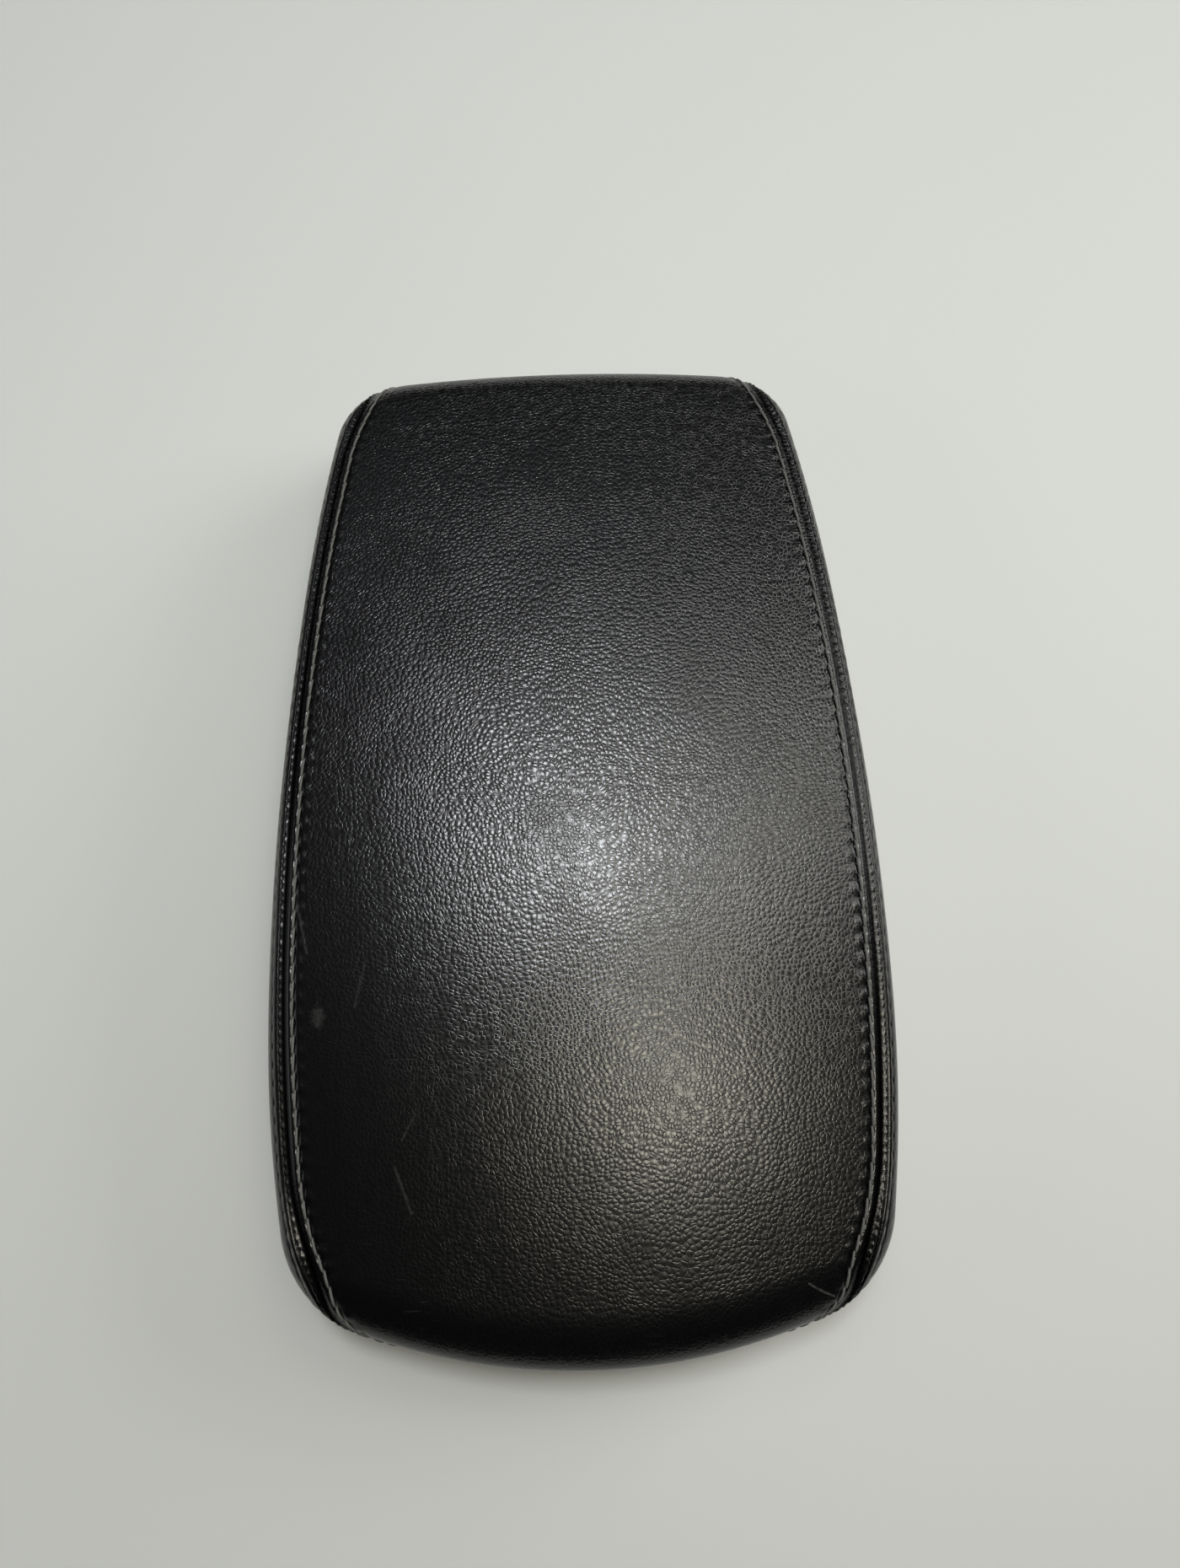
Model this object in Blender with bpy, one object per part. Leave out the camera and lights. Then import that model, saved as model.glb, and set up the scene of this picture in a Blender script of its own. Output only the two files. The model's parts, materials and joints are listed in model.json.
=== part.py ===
"""Padded console armrest lid: leather cover, padding, shell, inner panel, hinge and latch.

Units are metres. X is the width, Y runs from the bowed front end to the hinge end, and Z is up.
The lid lies as in the photograph, on its rubber buttons, with the hinge bracket folded under it.
"""

import math
from dataclasses import dataclass

import bmesh
import bpy
from mathutils import Matrix, Vector

# Clearance between pieces that touch.
GAP = 0.0003

# Plan outline at the widest level of the padding.
LENGTH = 0.310
WIDTH = 0.1785
WIDEST_Y = -0.14 * LENGTH
SIDE_RADIUS = 1.12
FLANK_RADIUS = 0.68
FRONT_RADIUS = 0.183
FRONT_CORNER = 0.031
REAR_RADIUS = 1.13
REAR_CORNER = 0.025

# Crown and walls of the padding.
CROWN_TOP = 0.056
LENGTH_CROWN = 0.771
WIDTH_CROWN = 0.70
SIDE_SHOULDER = 0.0085
END_SHOULDER = 0.0125
BULGE = 0.0012
TUCK = 0.0020
COVER_BASE = 0.0153

# Layers, from the outside in.
LEATHER = 0.0012
HEM_WIDTH = 0.006
FOAM_SIDE = 0.0022
FOAM_TOP = 0.009
SHELL_WALL = 0.0028
CORE_SHARE = 0.6

# Seams between the centre panel and the side panels.
SEAM_INSET = 0.0050
SEAM_FRONT_RADIUS = 0.11
SEAM_REAR_RADIUS = 0.09
SEAM_FRONT_TURN = -0.32 * LENGTH
SEAM_REAR_TURN = 0.38 * LENGTH
SEAM_GROOVE = 0.0008
SEAM_GROOVE_LIFT = 0.00015

# Ribs and bosses of the shell.
RIB_WALL = 0.002
RIB_ACROSS = (-0.24 * LENGTH, 0.0, 0.20 * LENGTH)
RIB_ALONG = 0.31 * WIDTH / 2.0
BOSS_RADIUS = 0.0042

# Lower cover.
PLATE_WALL = 0.0027
PLATE_INSET = 0.0040
PLATE_CHAMFER = 0.0006
PLATE_CLEARANCE = 0.0030
SKIRT_INSET = 0.0095
SKIRT_DRAFT = 0.0008
SKIRT_WALL = 0.0022
SKIRT_BASE = 0.0006
SKIRT_REAR = 0.435 * LENGTH

# Screws, as shares of the half width and the half length.
SCREW_SPOTS = ((0.74, -0.55), (0.74, 0.12), (0.62, 0.80), (0.40, -0.84))
SCREW_RADIUS = 0.0015
SCREW_HEAD = 0.0036
SCREW_LENGTH = 0.012

# Rubber buttons under the lower cover.
BUTTON_SPOTS = {"front": (0.66, -0.74), "rear": (0.61, 0.60)}
BUTTON_RADIUS = 0.0050
BUTTON_HEIGHT = 0.0018
BUTTON_STEM = 0.0020
BUTTON_STEM_LENGTH = 0.0062
BUTTON_CHAMFER = 0.0008
POST_RADIUS = 0.0055

# Hinge.
HINGE_REACH = 0.014
HINGE_Y = LENGTH / 2.0 - HINGE_REACH
HINGE_Z = 0.0140
HINGE_PIN = 0.0020
HINGE_EAR = 0.0055
EAR_WALL = 0.0025
LEAF_WALL = 0.0020
LEAF_HALF = 0.043
LEAF_LENGTH = 0.040
LEAF_EAR_X = 0.024
BRACKET_HALF = 0.040
BRACKET_LENGTH = 0.045
BRACKET_WALL = 0.0025
BRACKET_HOLE = 0.0028
BRACKET_HOLE_X = 0.0340
BRACKET_FOOT = 0.0160
BUSH_WALL = 0.0009
BUSH_FLANGE = 0.0050
LEAF_SCREW_X = 0.0360
LEAF_SCREW_PITCH = 0.021
LEAF_SCREW_RADIUS = 0.0020
LEAF_SCREW_HEAD = 0.0042
INSERT_WALL = 0.0010
INSERT_LENGTH = 0.0075

# Latch.
LATCH_Y = -LENGTH / 2.0 + 0.029
LATCH_Z = 0.0065
LATCH_PIN = 0.0015
LATCH_HUB = 0.0036
LATCH_EAR_X = 0.0150
LATCH_EAR_FOOT = 0.0045
PADDLE_HALF = 0.022
PADDLE_REACH = 0.0235
PADDLE_WALL = 0.0025
HOOK_DROP = 0.0053
SPRING_RADIUS = 0.0029
SPRING_WIRE = 0.00045
SPRING_TURNS = 5
LATCH_HUB_END = 0.0052
LATCH_HUB_RIGHT = LATCH_EAR_X - GAP - 0.0016
SPRING_START = LATCH_HUB_END + GAP + SPRING_WIRE * 1.5
SPRING_END = LATCH_HUB_RIGHT - GAP - SPRING_WIRE * 1.5
SPRING_PITCH = (SPRING_END - SPRING_START) / (SPRING_TURNS + 0.25)

# Heights that follow from the sizes above.
HEM_TOP = COVER_BASE + LEATHER
SHELL_BASE = HEM_TOP + GAP
PLATE_TOP = COVER_BASE - GAP
PLATE_BASE = PLATE_TOP - PLATE_WALL
RIB_BASE = PLATE_TOP + GAP
RIB_LOW = SHELL_BASE + 0.002
LEAF_TOP = RIB_BASE - GAP


@dataclass(frozen=True)
class Surface:
    """One face of a layer, given by how far it lies inside the leather's face."""

    side: float
    top: float
    share: float
    less: float
    base: float

    def radius(self, normal):
        """Shoulder radius of this face where the outline has the given normal."""
        outer = SIDE_SHOULDER + (END_SHOULDER - SIDE_SHOULDER) * normal.y ** 2
        return outer * self.share - self.less


FOAM_OUT = LEATHER + GAP
SKIN_OUTER = Surface(0.0, 0.0, 1.0, 0.0, COVER_BASE)
SKIN_INNER = Surface(LEATHER, LEATHER, 1.0, LEATHER, HEM_TOP)
FOAM_OUTER = Surface(FOAM_OUT, FOAM_OUT, 1.0, FOAM_OUT, SHELL_BASE)
FOAM_INNER = Surface(FOAM_OUT + FOAM_SIDE, FOAM_OUT + FOAM_TOP, CORE_SHARE, 0.0, SHELL_BASE)
SHELL_OUTER = Surface(FOAM_INNER.side + GAP, FOAM_INNER.top + GAP, CORE_SHARE, GAP, SHELL_BASE)
SHELL_INNER = Surface(
    SHELL_OUTER.side + SHELL_WALL,
    SHELL_OUTER.top + SHELL_WALL,
    CORE_SHARE,
    GAP + SHELL_WALL,
    SHELL_BASE,
)
SHELL_MIDDLE = Surface(
    SHELL_OUTER.side + SHELL_WALL / 2.0,
    SHELL_OUTER.top + SHELL_WALL / 2.0,
    CORE_SHARE,
    GAP + SHELL_WALL / 2.0,
    SHELL_BASE,
)

# Steps over the crown, round the shoulder and down the wall. Faces that meet share them.
FACE_STEPS = (5, 5, 4)
BACK_STEPS = (3, 3, 2)
CORE_STEPS = (2, 2, 2)


def clear_file():
    """Remove every object that the new file starts with."""
    for item in list(bpy.data.objects):
        bpy.data.objects.remove(item, do_unlink=True)


def make_material(name, colour, roughness, metallic=0.0):
    """Return a new plain material with the given base values."""
    material = bpy.data.materials.new(name)
    material.use_nodes = True
    shader = material.node_tree.nodes["Principled BSDF"]
    shader.inputs["Base Color"].default_value = (*colour, 1.0)
    shader.inputs["Roughness"].default_value = roughness
    shader.inputs["Metallic"].default_value = metallic
    return material


def add_object(name, mesh_data, smooth=True):
    """Turn an edit mesh into a scene object with outward normals."""
    bmesh.ops.recalc_face_normals(mesh_data, faces=mesh_data.faces[:])
    mesh = bpy.data.meshes.new(name)
    mesh_data.to_mesh(mesh)
    mesh_data.free()
    item = bpy.data.objects.new(name, mesh)
    bpy.context.scene.collection.objects.link(item)
    if smooth:
        mesh.shade_smooth()
        mesh.set_sharp_from_angle(angle=math.radians(38.0))
    return item


def boolean(target, tools, operation):
    """Apply one exact boolean with all the tools to the target, and remove the tools."""
    kit = bpy.data.collections.new("tools")
    for tool in tools:
        kit.objects.link(tool)
        tool.hide_render = True
        tool.display_type = "WIRE"
    modifier = target.modifiers.new(operation.lower(), "BOOLEAN")
    modifier.operation = operation
    modifier.solver = "EXACT"
    modifier.operand_type = "COLLECTION"
    modifier.collection = kit
    bpy.context.view_layer.update()
    graph = bpy.context.evaluated_depsgraph_get()
    result = bpy.data.meshes.new_from_object(target.evaluated_get(graph))
    target.modifiers.clear()
    target.data = result
    for tool in tools:
        bpy.data.objects.remove(tool, do_unlink=True)
    bpy.data.collections.remove(kit)
    return target


def drop_crumbs(item):
    """Keep the largest body of a mesh and remove the small bits that a cut left loose."""
    data = bmesh.new()
    data.from_mesh(item.data)
    left = set(data.verts)
    bodies = []
    while left:
        body = {left.pop()}
        front = list(body)
        while front:
            spot = front.pop()
            for edge in spot.link_edges:
                other = edge.other_vert(spot)
                if other in left:
                    left.discard(other)
                    body.add(other)
                    front.append(other)
        bodies.append(body)
    largest = max(bodies, key=len)
    crumbs = [spot for body in bodies if body is not largest for spot in body]
    bmesh.ops.delete(data, geom=crumbs, context="VERTS")
    data.to_mesh(item.data)
    data.free()
    return item


def box(name, low, high):
    """Box between two corners."""
    data = bmesh.new()
    centre = [(a + b) / 2.0 for a, b in zip(low, high)]
    size = [b - a for a, b in zip(low, high)]
    place = Matrix.Translation(centre) @ Matrix.Diagonal((*size, 1.0))
    bmesh.ops.create_cube(data, size=1.0, matrix=place)
    return add_object(name, data, smooth=False)


def prism(name, outline, low, high, axis="Z"):
    """Solid between two levels along an axis, with the outline given in the other two axes."""
    data = bmesh.new()
    places = {
        "X": lambda point, level: (level, point[0], point[1]),
        "Y": lambda point, level: (point[0], level, point[1]),
        "Z": lambda point, level: (point[0], point[1], level),
    }
    place = places[axis]
    lower = [data.verts.new(place(point, low)) for point in outline]
    upper = [data.verts.new(place(point, high)) for point in outline]
    data.faces.new(lower)
    data.faces.new(upper)
    count = len(outline)
    for index in range(count):
        after = (index + 1) % count
        data.faces.new((lower[index], lower[after], upper[after], upper[index]))
    return add_object(name, data)


def revolve(name, profile, centre, axis, sides):
    """Solid of revolution. The profile lists radius and distance along the axis from the centre."""
    data = bmesh.new()
    turn = Vector((0.0, 0.0, 1.0)).rotation_difference(Vector(axis)).to_matrix()
    rings = []
    for radius, along in profile:
        if radius == 0.0:
            rings.append([data.verts.new(turn @ Vector((0.0, 0.0, along)))])
            continue
        ring = []
        for side in range(sides):
            angle = 2.0 * math.pi * side / sides
            spot = Vector((radius * math.cos(angle), radius * math.sin(angle), along))
            ring.append(data.verts.new(turn @ spot))
        rings.append(ring)
    closed = profile[0][0] > 0.0 and profile[-1][0] > 0.0
    pairs = list(zip(rings, rings[1:]))
    if closed:
        pairs.append((rings[-1], rings[0]))
    for first, second in pairs:
        bridge(data, first, second)
    item = add_object(name, data)
    item.location = centre
    return item


def bridge(data, first, second):
    """Fill the band between two rings with triangles. A ring of one vertex makes a fan.

    The diagonals start on the higher ring, so that nested layers have matching facets.
    """
    if first[0].co.z < second[0].co.z:
        first, second = second, first
    count = max(len(first), len(second))
    for index in range(count):
        after = (index + 1) % count
        near = first[index % len(first)]
        far = second[after % len(second)]
        if len(first) > 1:
            data.faces.new((near, first[after], far))
        if len(second) > 1:
            data.faces.new((near, far, second[index]))


def rod(name, radius, low, high, axis, centre, sides=20):
    """Round bar between two distances along an axis from the centre."""
    profile = [(0.0, low), (radius, low), (radius, high), (0.0, high)]
    return revolve(name, profile, centre, axis, sides)


def inner_touching_centre(centre_a, radius_a, centre_b, radius_b, radius):
    """Centre, on the +X side, of a circle that touches two larger circles from inside."""
    reach_a = radius_a - radius
    reach_b = radius_b - radius
    span = centre_b - centre_a
    along = (reach_a ** 2 - reach_b ** 2 + span.length ** 2) / (2.0 * span.length)
    across = math.sqrt(reach_a ** 2 - along ** 2)
    direction = span.normalized()
    sideways = Vector((-direction.y, direction.x))
    options = [centre_a + direction * along + sideways * across * sign for sign in (1.0, -1.0)]
    return max(options, key=lambda point: point.x)


def heading(vector):
    """Angle of a plan vector from +X."""
    return math.atan2(vector.y, vector.x)


def unit(angle):
    """Plan vector of length one at an angle from +X."""
    return Vector((math.cos(angle), math.sin(angle)))


SIDE_CENTRE = Vector((WIDTH / 2.0 - SIDE_RADIUS, WIDEST_Y))
FLANK_CENTRE = Vector((WIDTH / 2.0 - FLANK_RADIUS, WIDEST_Y))


def outline_arcs():
    """Arcs of the right half of the outline: centre, radius, first and last angle, steps.

    The long side is two arcs that meet where it is widest. The front one, the flank, turns in sooner.
    """
    front = Vector((0.0, FRONT_RADIUS - LENGTH / 2.0))
    rear = Vector((0.0, LENGTH / 2.0 - REAR_RADIUS))
    front_corner = inner_touching_centre(FLANK_CENTRE, FLANK_RADIUS, front, FRONT_RADIUS, FRONT_CORNER)
    rear_corner = inner_touching_centre(SIDE_CENTRE, SIDE_RADIUS, rear, REAR_RADIUS, REAR_CORNER)
    front_angle = heading(front_corner - front)
    front_side = heading(front_corner - FLANK_CENTRE)
    rear_side = heading(rear_corner - SIDE_CENTRE)
    rear_angle = heading(rear_corner - rear)
    return (
        (front, FRONT_RADIUS, -math.pi / 2.0, front_angle, 5),
        (front_corner, FRONT_CORNER, front_angle, front_side, 7),
        (FLANK_CENTRE, FLANK_RADIUS, front_side, 0.0, 4),
        (SIDE_CENTRE, SIDE_RADIUS, 0.0, rear_side, 7),
        (rear_corner, REAR_CORNER, rear_side, rear_angle, 6),
        (rear, REAR_RADIUS, rear_angle, math.pi / 2.0, 4),
    )


def outline_samples(finer=1):
    """Points of the whole outline with outward normals, from the front middle round by +X."""
    right = []
    for centre, radius, first, last, coarse in outline_arcs():
        steps = coarse * finer
        for step in range(steps):
            normal = unit(first + (last - first) * step / steps)
            right.append((centre + normal * radius, normal))
    right.append((Vector((0.0, LENGTH / 2.0)), Vector((0.0, 1.0))))
    flip = lambda vector: Vector((-vector.x, vector.y))
    left = [(flip(point), flip(normal)) for point, normal in reversed(right[1:-1])]
    return right + left


OUTLINE = outline_samples()
OUTLINE_FINE = outline_samples(finer=20)


def crown_height(plan):
    """Height of the leather's crown over a plan point."""
    return CROWN_TOP - plan.y ** 2 / (2.0 * LENGTH_CROWN) - plan.x ** 2 / (2.0 * WIDTH_CROWN)


def wall_lean(point, normal, height):
    """Outward offset of the wall: a soft bulge that tucks in at the lower edge."""
    spring = crown_height(point) - SKIN_OUTER.radius(normal)
    share = max(0.0, (spring - height) / (spring - COVER_BASE))
    return BULGE * 4.0 * share * (1.0 - share) - TUCK * share ** 3


def shoulder_point(surface, point, normal, angle):
    """Point on a layer's shoulder. The angle is 0 at the wall and a quarter turn at the crown."""
    radius = surface.radius(normal)
    plan = point - normal * (surface.side + radius * (1.0 - math.cos(angle)))
    height = crown_height(plan) - surface.top - radius * (1.0 - math.sin(angle))
    plan = plan + normal * wall_lean(point, normal, height)
    return Vector((plan.x, plan.y, height))


def wall_point(surface, point, normal, share):
    """Point on a layer's wall, from the shoulder at share 0 down to its base at share 1."""
    start = shoulder_point(surface, point, normal, 0.0).z
    height = start + (surface.base - start) * share
    plan = point + normal * (wall_lean(point, normal, height) - surface.side)
    return Vector((plan.x, plan.y, height))


def surface_rings(surface, crown_steps, shoulder_steps, wall_steps):
    """Rings of one layer face from the middle of the crown out and down to its base."""
    edge = [shoulder_point(surface, point, normal, math.pi / 2.0) for point, normal in OUTLINE]
    rings = []
    for step in range(1, crown_steps):
        share = step / crown_steps
        plans = [Vector((spot.x * share, spot.y * share)) for spot in edge]
        rings.append([Vector((*plan, crown_height(plan) - surface.top)) for plan in plans])
    rings.append(edge)
    for step in range(1, shoulder_steps + 1):
        angle = math.pi / 2.0 * (1.0 - step / shoulder_steps)
        rings.append([shoulder_point(surface, point, normal, angle) for point, normal in OUTLINE])
    for step in range(1, wall_steps + 1):
        share = step / wall_steps
        rings.append([wall_point(surface, point, normal, share) for point, normal in OUTLINE])
    return rings


def inset_ring(inset, height):
    """Level ring at an inset from the outline."""
    plans = [point - normal * inset for point, normal in OUTLINE]
    return [Vector((plan.x, plan.y, height)) for plan in plans]


def loft(name, rings, first, last):
    """Closed solid through the rings, with a fan to one point at each end."""
    data = bmesh.new()
    bands = [[data.verts.new(first)]]
    bands += [[data.verts.new(spot) for spot in ring] for ring in rings]
    bands.append([data.verts.new(last)])
    for upper, lower in zip(bands, bands[1:]):
        bridge(data, upper, lower)
    return add_object(name, data)


def crown_point(surface):
    """Middle of a layer face's crown."""
    return Vector((0.0, 0.0, CROWN_TOP - surface.top))


def layer_solid(name, outer, inner, outer_steps, inner_steps, extra=()):
    """Solid between two layer faces, with extra rings between their lower edges."""
    rings = surface_rings(outer, *outer_steps)
    rings += list(extra)
    rings += reversed(surface_rings(inner, *inner_steps))
    return loft(name, rings, crown_point(outer), crown_point(inner))


def inside_outline(plan):
    """True where a plan point lies within the outline, which bows outward everywhere."""
    return all((plan - point).dot(normal) <= 0.0 for point, normal in OUTLINE)


def side_arc(turn_y):
    """Centre and radius of the part of the long side that lies on the same end as a turn."""
    if turn_y < WIDEST_Y:
        return FLANK_CENTRE, FLANK_RADIUS
    return SIDE_CENTRE, SIDE_RADIUS


def seam_arc(turn_y, radius, grow):
    """Centre, radius and start angle of the arc in which the right seam leaves the side."""
    side_centre, side_radius = side_arc(turn_y)
    reach = side_radius - SEAM_INSET
    start = math.asin((turn_y - WIDEST_Y) / reach)
    centre = side_centre + unit(start) * (reach - radius)
    return centre, radius - grow, start


def seam_exit(turn_y, radius, grow):
    """Angle on the seam's arc where it crosses the outline."""
    centre, size, start = seam_arc(turn_y, radius, grow)
    step = math.copysign(math.radians(0.1), turn_y)
    angle = start
    while inside_outline(centre + unit(angle) * size):
        angle += step
    return angle


def seam_path(grow):
    """Plan path of the right seam from the front exit to the rear exit."""
    path = []
    for turn_y, radius, forward in (
        (SEAM_FRONT_TURN, SEAM_FRONT_RADIUS, True),
        (SEAM_REAR_TURN, SEAM_REAR_RADIUS, False),
    ):
        centre, size, start = seam_arc(turn_y, radius, grow)
        end = seam_exit(turn_y, radius, grow)
        arc = [centre + unit(start + (end - start) * step / 10) * size for step in range(11)]
        if forward:
            arc.reverse()
            path += arc
            for step in range(1, 4):
                along = unit(start * (1.0 - step / 4.0))
                path.append(FLANK_CENTRE + along * (FLANK_RADIUS - SEAM_INSET - grow))
        else:
            for step in range(9):
                along = unit(start * step / 9.0)
                path.append(SIDE_CENTRE + along * (SIDE_RADIUS - SEAM_INSET - grow))
            path += arc
    return path


def side_region(name, grow, sign):
    """Block that holds one side panel. It grows toward the middle by the given amount."""
    path = seam_path(grow)
    far = WIDTH
    front_out = path[0] + (path[0] - path[1]).normalized() * 0.02
    rear_out = path[-1] + (path[-1] - path[-2]).normalized() * 0.02
    upper = [front_out, *path, rear_out, Vector((far, rear_out.y)), Vector((far, front_out.y))]
    ends = []
    heart = seam_path(0.0)
    for spot, exit_spot in ((path[0], heart[0]), (path[-1], heart[-1])):
        normal = min(OUTLINE, key=lambda sample: (sample[0] - exit_spot).length)[1]
        ends.append((spot - normal * 0.014, spot + normal * 0.02))
    (front_in, front_far), (rear_in, rear_far) = ends
    lower = [front_far, front_in, rear_in, rear_far, Vector((far, rear_far.y)), Vector((far, front_far.y))]
    split = (COVER_BASE + crown_height(path[0]) - END_SHOULDER) / 2.0
    turned = lambda outline: [(sign * plan.x, plan.y) for plan in outline]
    block = prism(name, turned(upper), split, CROWN_TOP * 1.5)
    foot = prism(name + "_foot", turned(lower), COVER_BASE / 2.0, split)
    return boolean(block, [foot], "UNION")


def seam_course():
    """Points of the right seam on the leather's shoulder, run on a little past both ends."""
    spots = []
    for plan in seam_path(0.0):
        point, normal = min(OUTLINE_FINE, key=lambda sample: (sample[0] - plan).length)
        radius = SKIN_OUTER.radius(normal)
        inset = min(max((point - plan).dot(normal), 0.0), radius)
        angle = math.acos(1.0 - inset / radius)
        spots.append(shoulder_point(SKIN_OUTER, point, normal, angle))
    ends = []
    for last, before in ((spots[0], spots[1]), (spots[-1], spots[-2])):
        out = Vector((last.x - before.x, last.y - before.y, 0.0)).normalized()
        ends.append(last + out * 4.0 * SEAM_GROOVE)
    return [ends[0], *spots, ends[1]]


def seam_groove(sign):
    """Tube along one seam that rolls the edges of both panels into the join."""
    course = [Vector((sign * spot.x, spot.y, spot.z)) for spot in seam_course()]
    middle = Vector((0.0, 0.0, COVER_BASE))
    data = bmesh.new()
    rings = []
    for index, spot in enumerate(course):
        before = course[max(index - 1, 0)]
        after = course[min(index + 1, len(course) - 1)]
        tangent = (after - before).normalized()
        outward = spot - middle
        outward = (outward - tangent * outward.dot(tangent)).normalized()
        across = tangent.cross(outward)
        heart = spot + outward * SEAM_GROOVE_LIFT
        ring = []
        for corner in range(6):
            angle = math.pi * corner / 3.0
            offset = outward * math.cos(angle) + across * math.sin(angle)
            ring.append(data.verts.new(heart + offset * SEAM_GROOVE))
        rings.append(ring)
    for first, second in zip(rings, rings[1:]):
        for corner in range(6):
            after = (corner + 1) % 6
            data.faces.new((first[corner], first[after], second[after], second[corner]))
    data.faces.new(rings[0])
    data.faces.new(rings[-1])
    return add_object("groove", data)


def build_cover():
    """Three leather panels that meet along the two seams, each with its edges rolled in."""
    hem = [inset_ring(TUCK + HEM_WIDTH, COVER_BASE), inset_ring(TUCK + HEM_WIDTH, HEM_TOP)]
    panels = []
    for name in ("centre_cover", "side_cover_left", "side_cover_right"):
        skin = layer_solid(name, SKIN_OUTER, SKIN_INNER, FACE_STEPS, BACK_STEPS, hem)
        if name == "centre_cover":
            cutters = [side_region("cutter", GAP / 2.0, sign) for sign in (-1.0, 1.0)]
            boolean(skin, cutters, "DIFFERENCE")
            drop_crumbs(boolean(skin, [seam_groove(sign) for sign in (-1.0, 1.0)], "DIFFERENCE"))
        else:
            sign = -1.0 if name.endswith("left") else 1.0
            boolean(skin, [side_region("keeper", -GAP / 2.0, sign)], "INTERSECT")
            drop_crumbs(boolean(skin, [seam_groove(sign)], "DIFFERENCE"))
        panels.append(skin)
    return panels


def screw_places():
    """Plan points of the screws in the lower cover."""
    places = []
    for across, along in SCREW_SPOTS:
        for sign in (-1.0, 1.0):
            places.append((sign * across * WIDTH / 2.0, along * LENGTH / 2.0))
    return places


def leaf_screw_places():
    """Plan points of the screws in the hinge leaf."""
    rear = HINGE_Y - HINGE_EAR - LEAF_SCREW_PITCH / 2.0 - LEAF_SCREW_HEAD
    front = rear - LEAF_SCREW_PITCH
    return [(sign * LEAF_SCREW_X, y) for sign in (-1.0, 1.0) for y in (front, rear)]


def button_place(side, end):
    """Plan point of one rubber button."""
    across, along = BUTTON_SPOTS[end]
    sign = -1.0 if side == "left" else 1.0
    return (sign * across * WIDTH / 2.0, along * LENGTH / 2.0)


def half_width(y):
    """Half width of the outline at a place on its long sides."""
    centre, radius = side_arc(y)
    return centre.x + math.sqrt(radius ** 2 - (y - WIDEST_Y) ** 2)


def middle_height(x, y):
    """Height halfway through the shell's crown."""
    return crown_height(Vector((x, y))) - SHELL_MIDDLE.top


def rib_across(y):
    """Rib across the shell, rooted in its walls and its crown."""
    point = Vector((half_width(y), y))
    normal = Vector((1.0, 0.0))
    angles = (0.0, math.pi / 4.0, math.pi / 2.0)
    corner = [shoulder_point(SHELL_MIDDLE, point, normal, angle) for angle in angles]
    foot = point.x + wall_lean(point, normal, RIB_LOW) - SHELL_MIDDLE.side
    right = [(foot, RIB_LOW)] + [(spot.x, spot.z) for spot in corner]
    right += [(corner[-1].x * share, middle_height(corner[-1].x * share, y)) for share in (0.66, 0.33)]
    left = [(-x, z) for x, z in reversed(right)]
    return prism("rib", right + [(0.0, middle_height(0.0, y))] + left, y, y + RIB_WALL, axis="Y")


def rib_along(x):
    """Rib along the shell with free ends."""
    steps = 8
    front = -0.40 * LENGTH
    rear = 0.29 * LENGTH
    spots = [rear + (front - rear) * step / steps for step in range(steps + 1)]
    outline = [(front, RIB_LOW), (rear, RIB_LOW)] + [(y, middle_height(x, y)) for y in spots]
    return prism("rib", outline, x - RIB_WALL / 2.0, x + RIB_WALL / 2.0, axis="X")


def boss(x, y, radius, sides):
    """Round boss from the ribs' lower level up into the crown."""
    top = middle_height(x, y) - 0.0002
    return rod("boss", radius, RIB_BASE, top, (0, 0, 1), (x, y, 0.0), sides)


def build_shell():
    """Moulded shell under the padding, with its ribs and screw bosses."""
    shell = layer_solid("upper_carrier", SHELL_OUTER, SHELL_INNER, CORE_STEPS, (2, 1, 1))
    insert_hole = LEAF_SCREW_RADIUS + GAP + INSERT_WALL + GAP
    parts = [rib_across(y) for y in RIB_ACROSS]
    parts += [rib_along(x) for x in (-RIB_ALONG, RIB_ALONG)]
    parts += [boss(x, y, BOSS_RADIUS, 10) for x, y in screw_places()]
    parts += [boss(x, y, insert_hole + RIB_WALL, 12) for x, y in leaf_screw_places()]
    boolean(shell, parts, "UNION")
    depth = RIB_BASE + SCREW_LENGTH - PLATE_WALL + 2.0 * GAP
    insert_depth = RIB_BASE + INSERT_LENGTH + 2.0 * GAP
    holes = []
    for x, y in screw_places():
        holes.append(rod("hole", SCREW_RADIUS + GAP, 0.0, depth, (0, 0, 1), (x, y, 0.0), 10))
    for x, y in leaf_screw_places():
        holes.append(rod("hole", insert_hole, 0.0, insert_depth, (0, 0, 1), (x, y, 0.0), 12))
    return boolean(shell, holes, "DIFFERENCE")


def lug_outline(y, z, radius, foot_low, foot_high, foot_z, steps=12, wrap=0.0):
    """Plate outline in Y and Z: round at the pin, running to a straight foot.

    The round part goes past the half circle by the wrap angle on the side of the higher Y.
    """
    below = foot_z < z
    arc = []
    for step in range(steps + 1):
        angle = (math.pi + wrap) * step / steps - wrap
        if not below:
            angle = -angle
        arc.append((y + radius * math.cos(angle), z + radius * math.sin(angle)))
    return arc + [(foot_low, foot_z), (foot_high, foot_z)]


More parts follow.
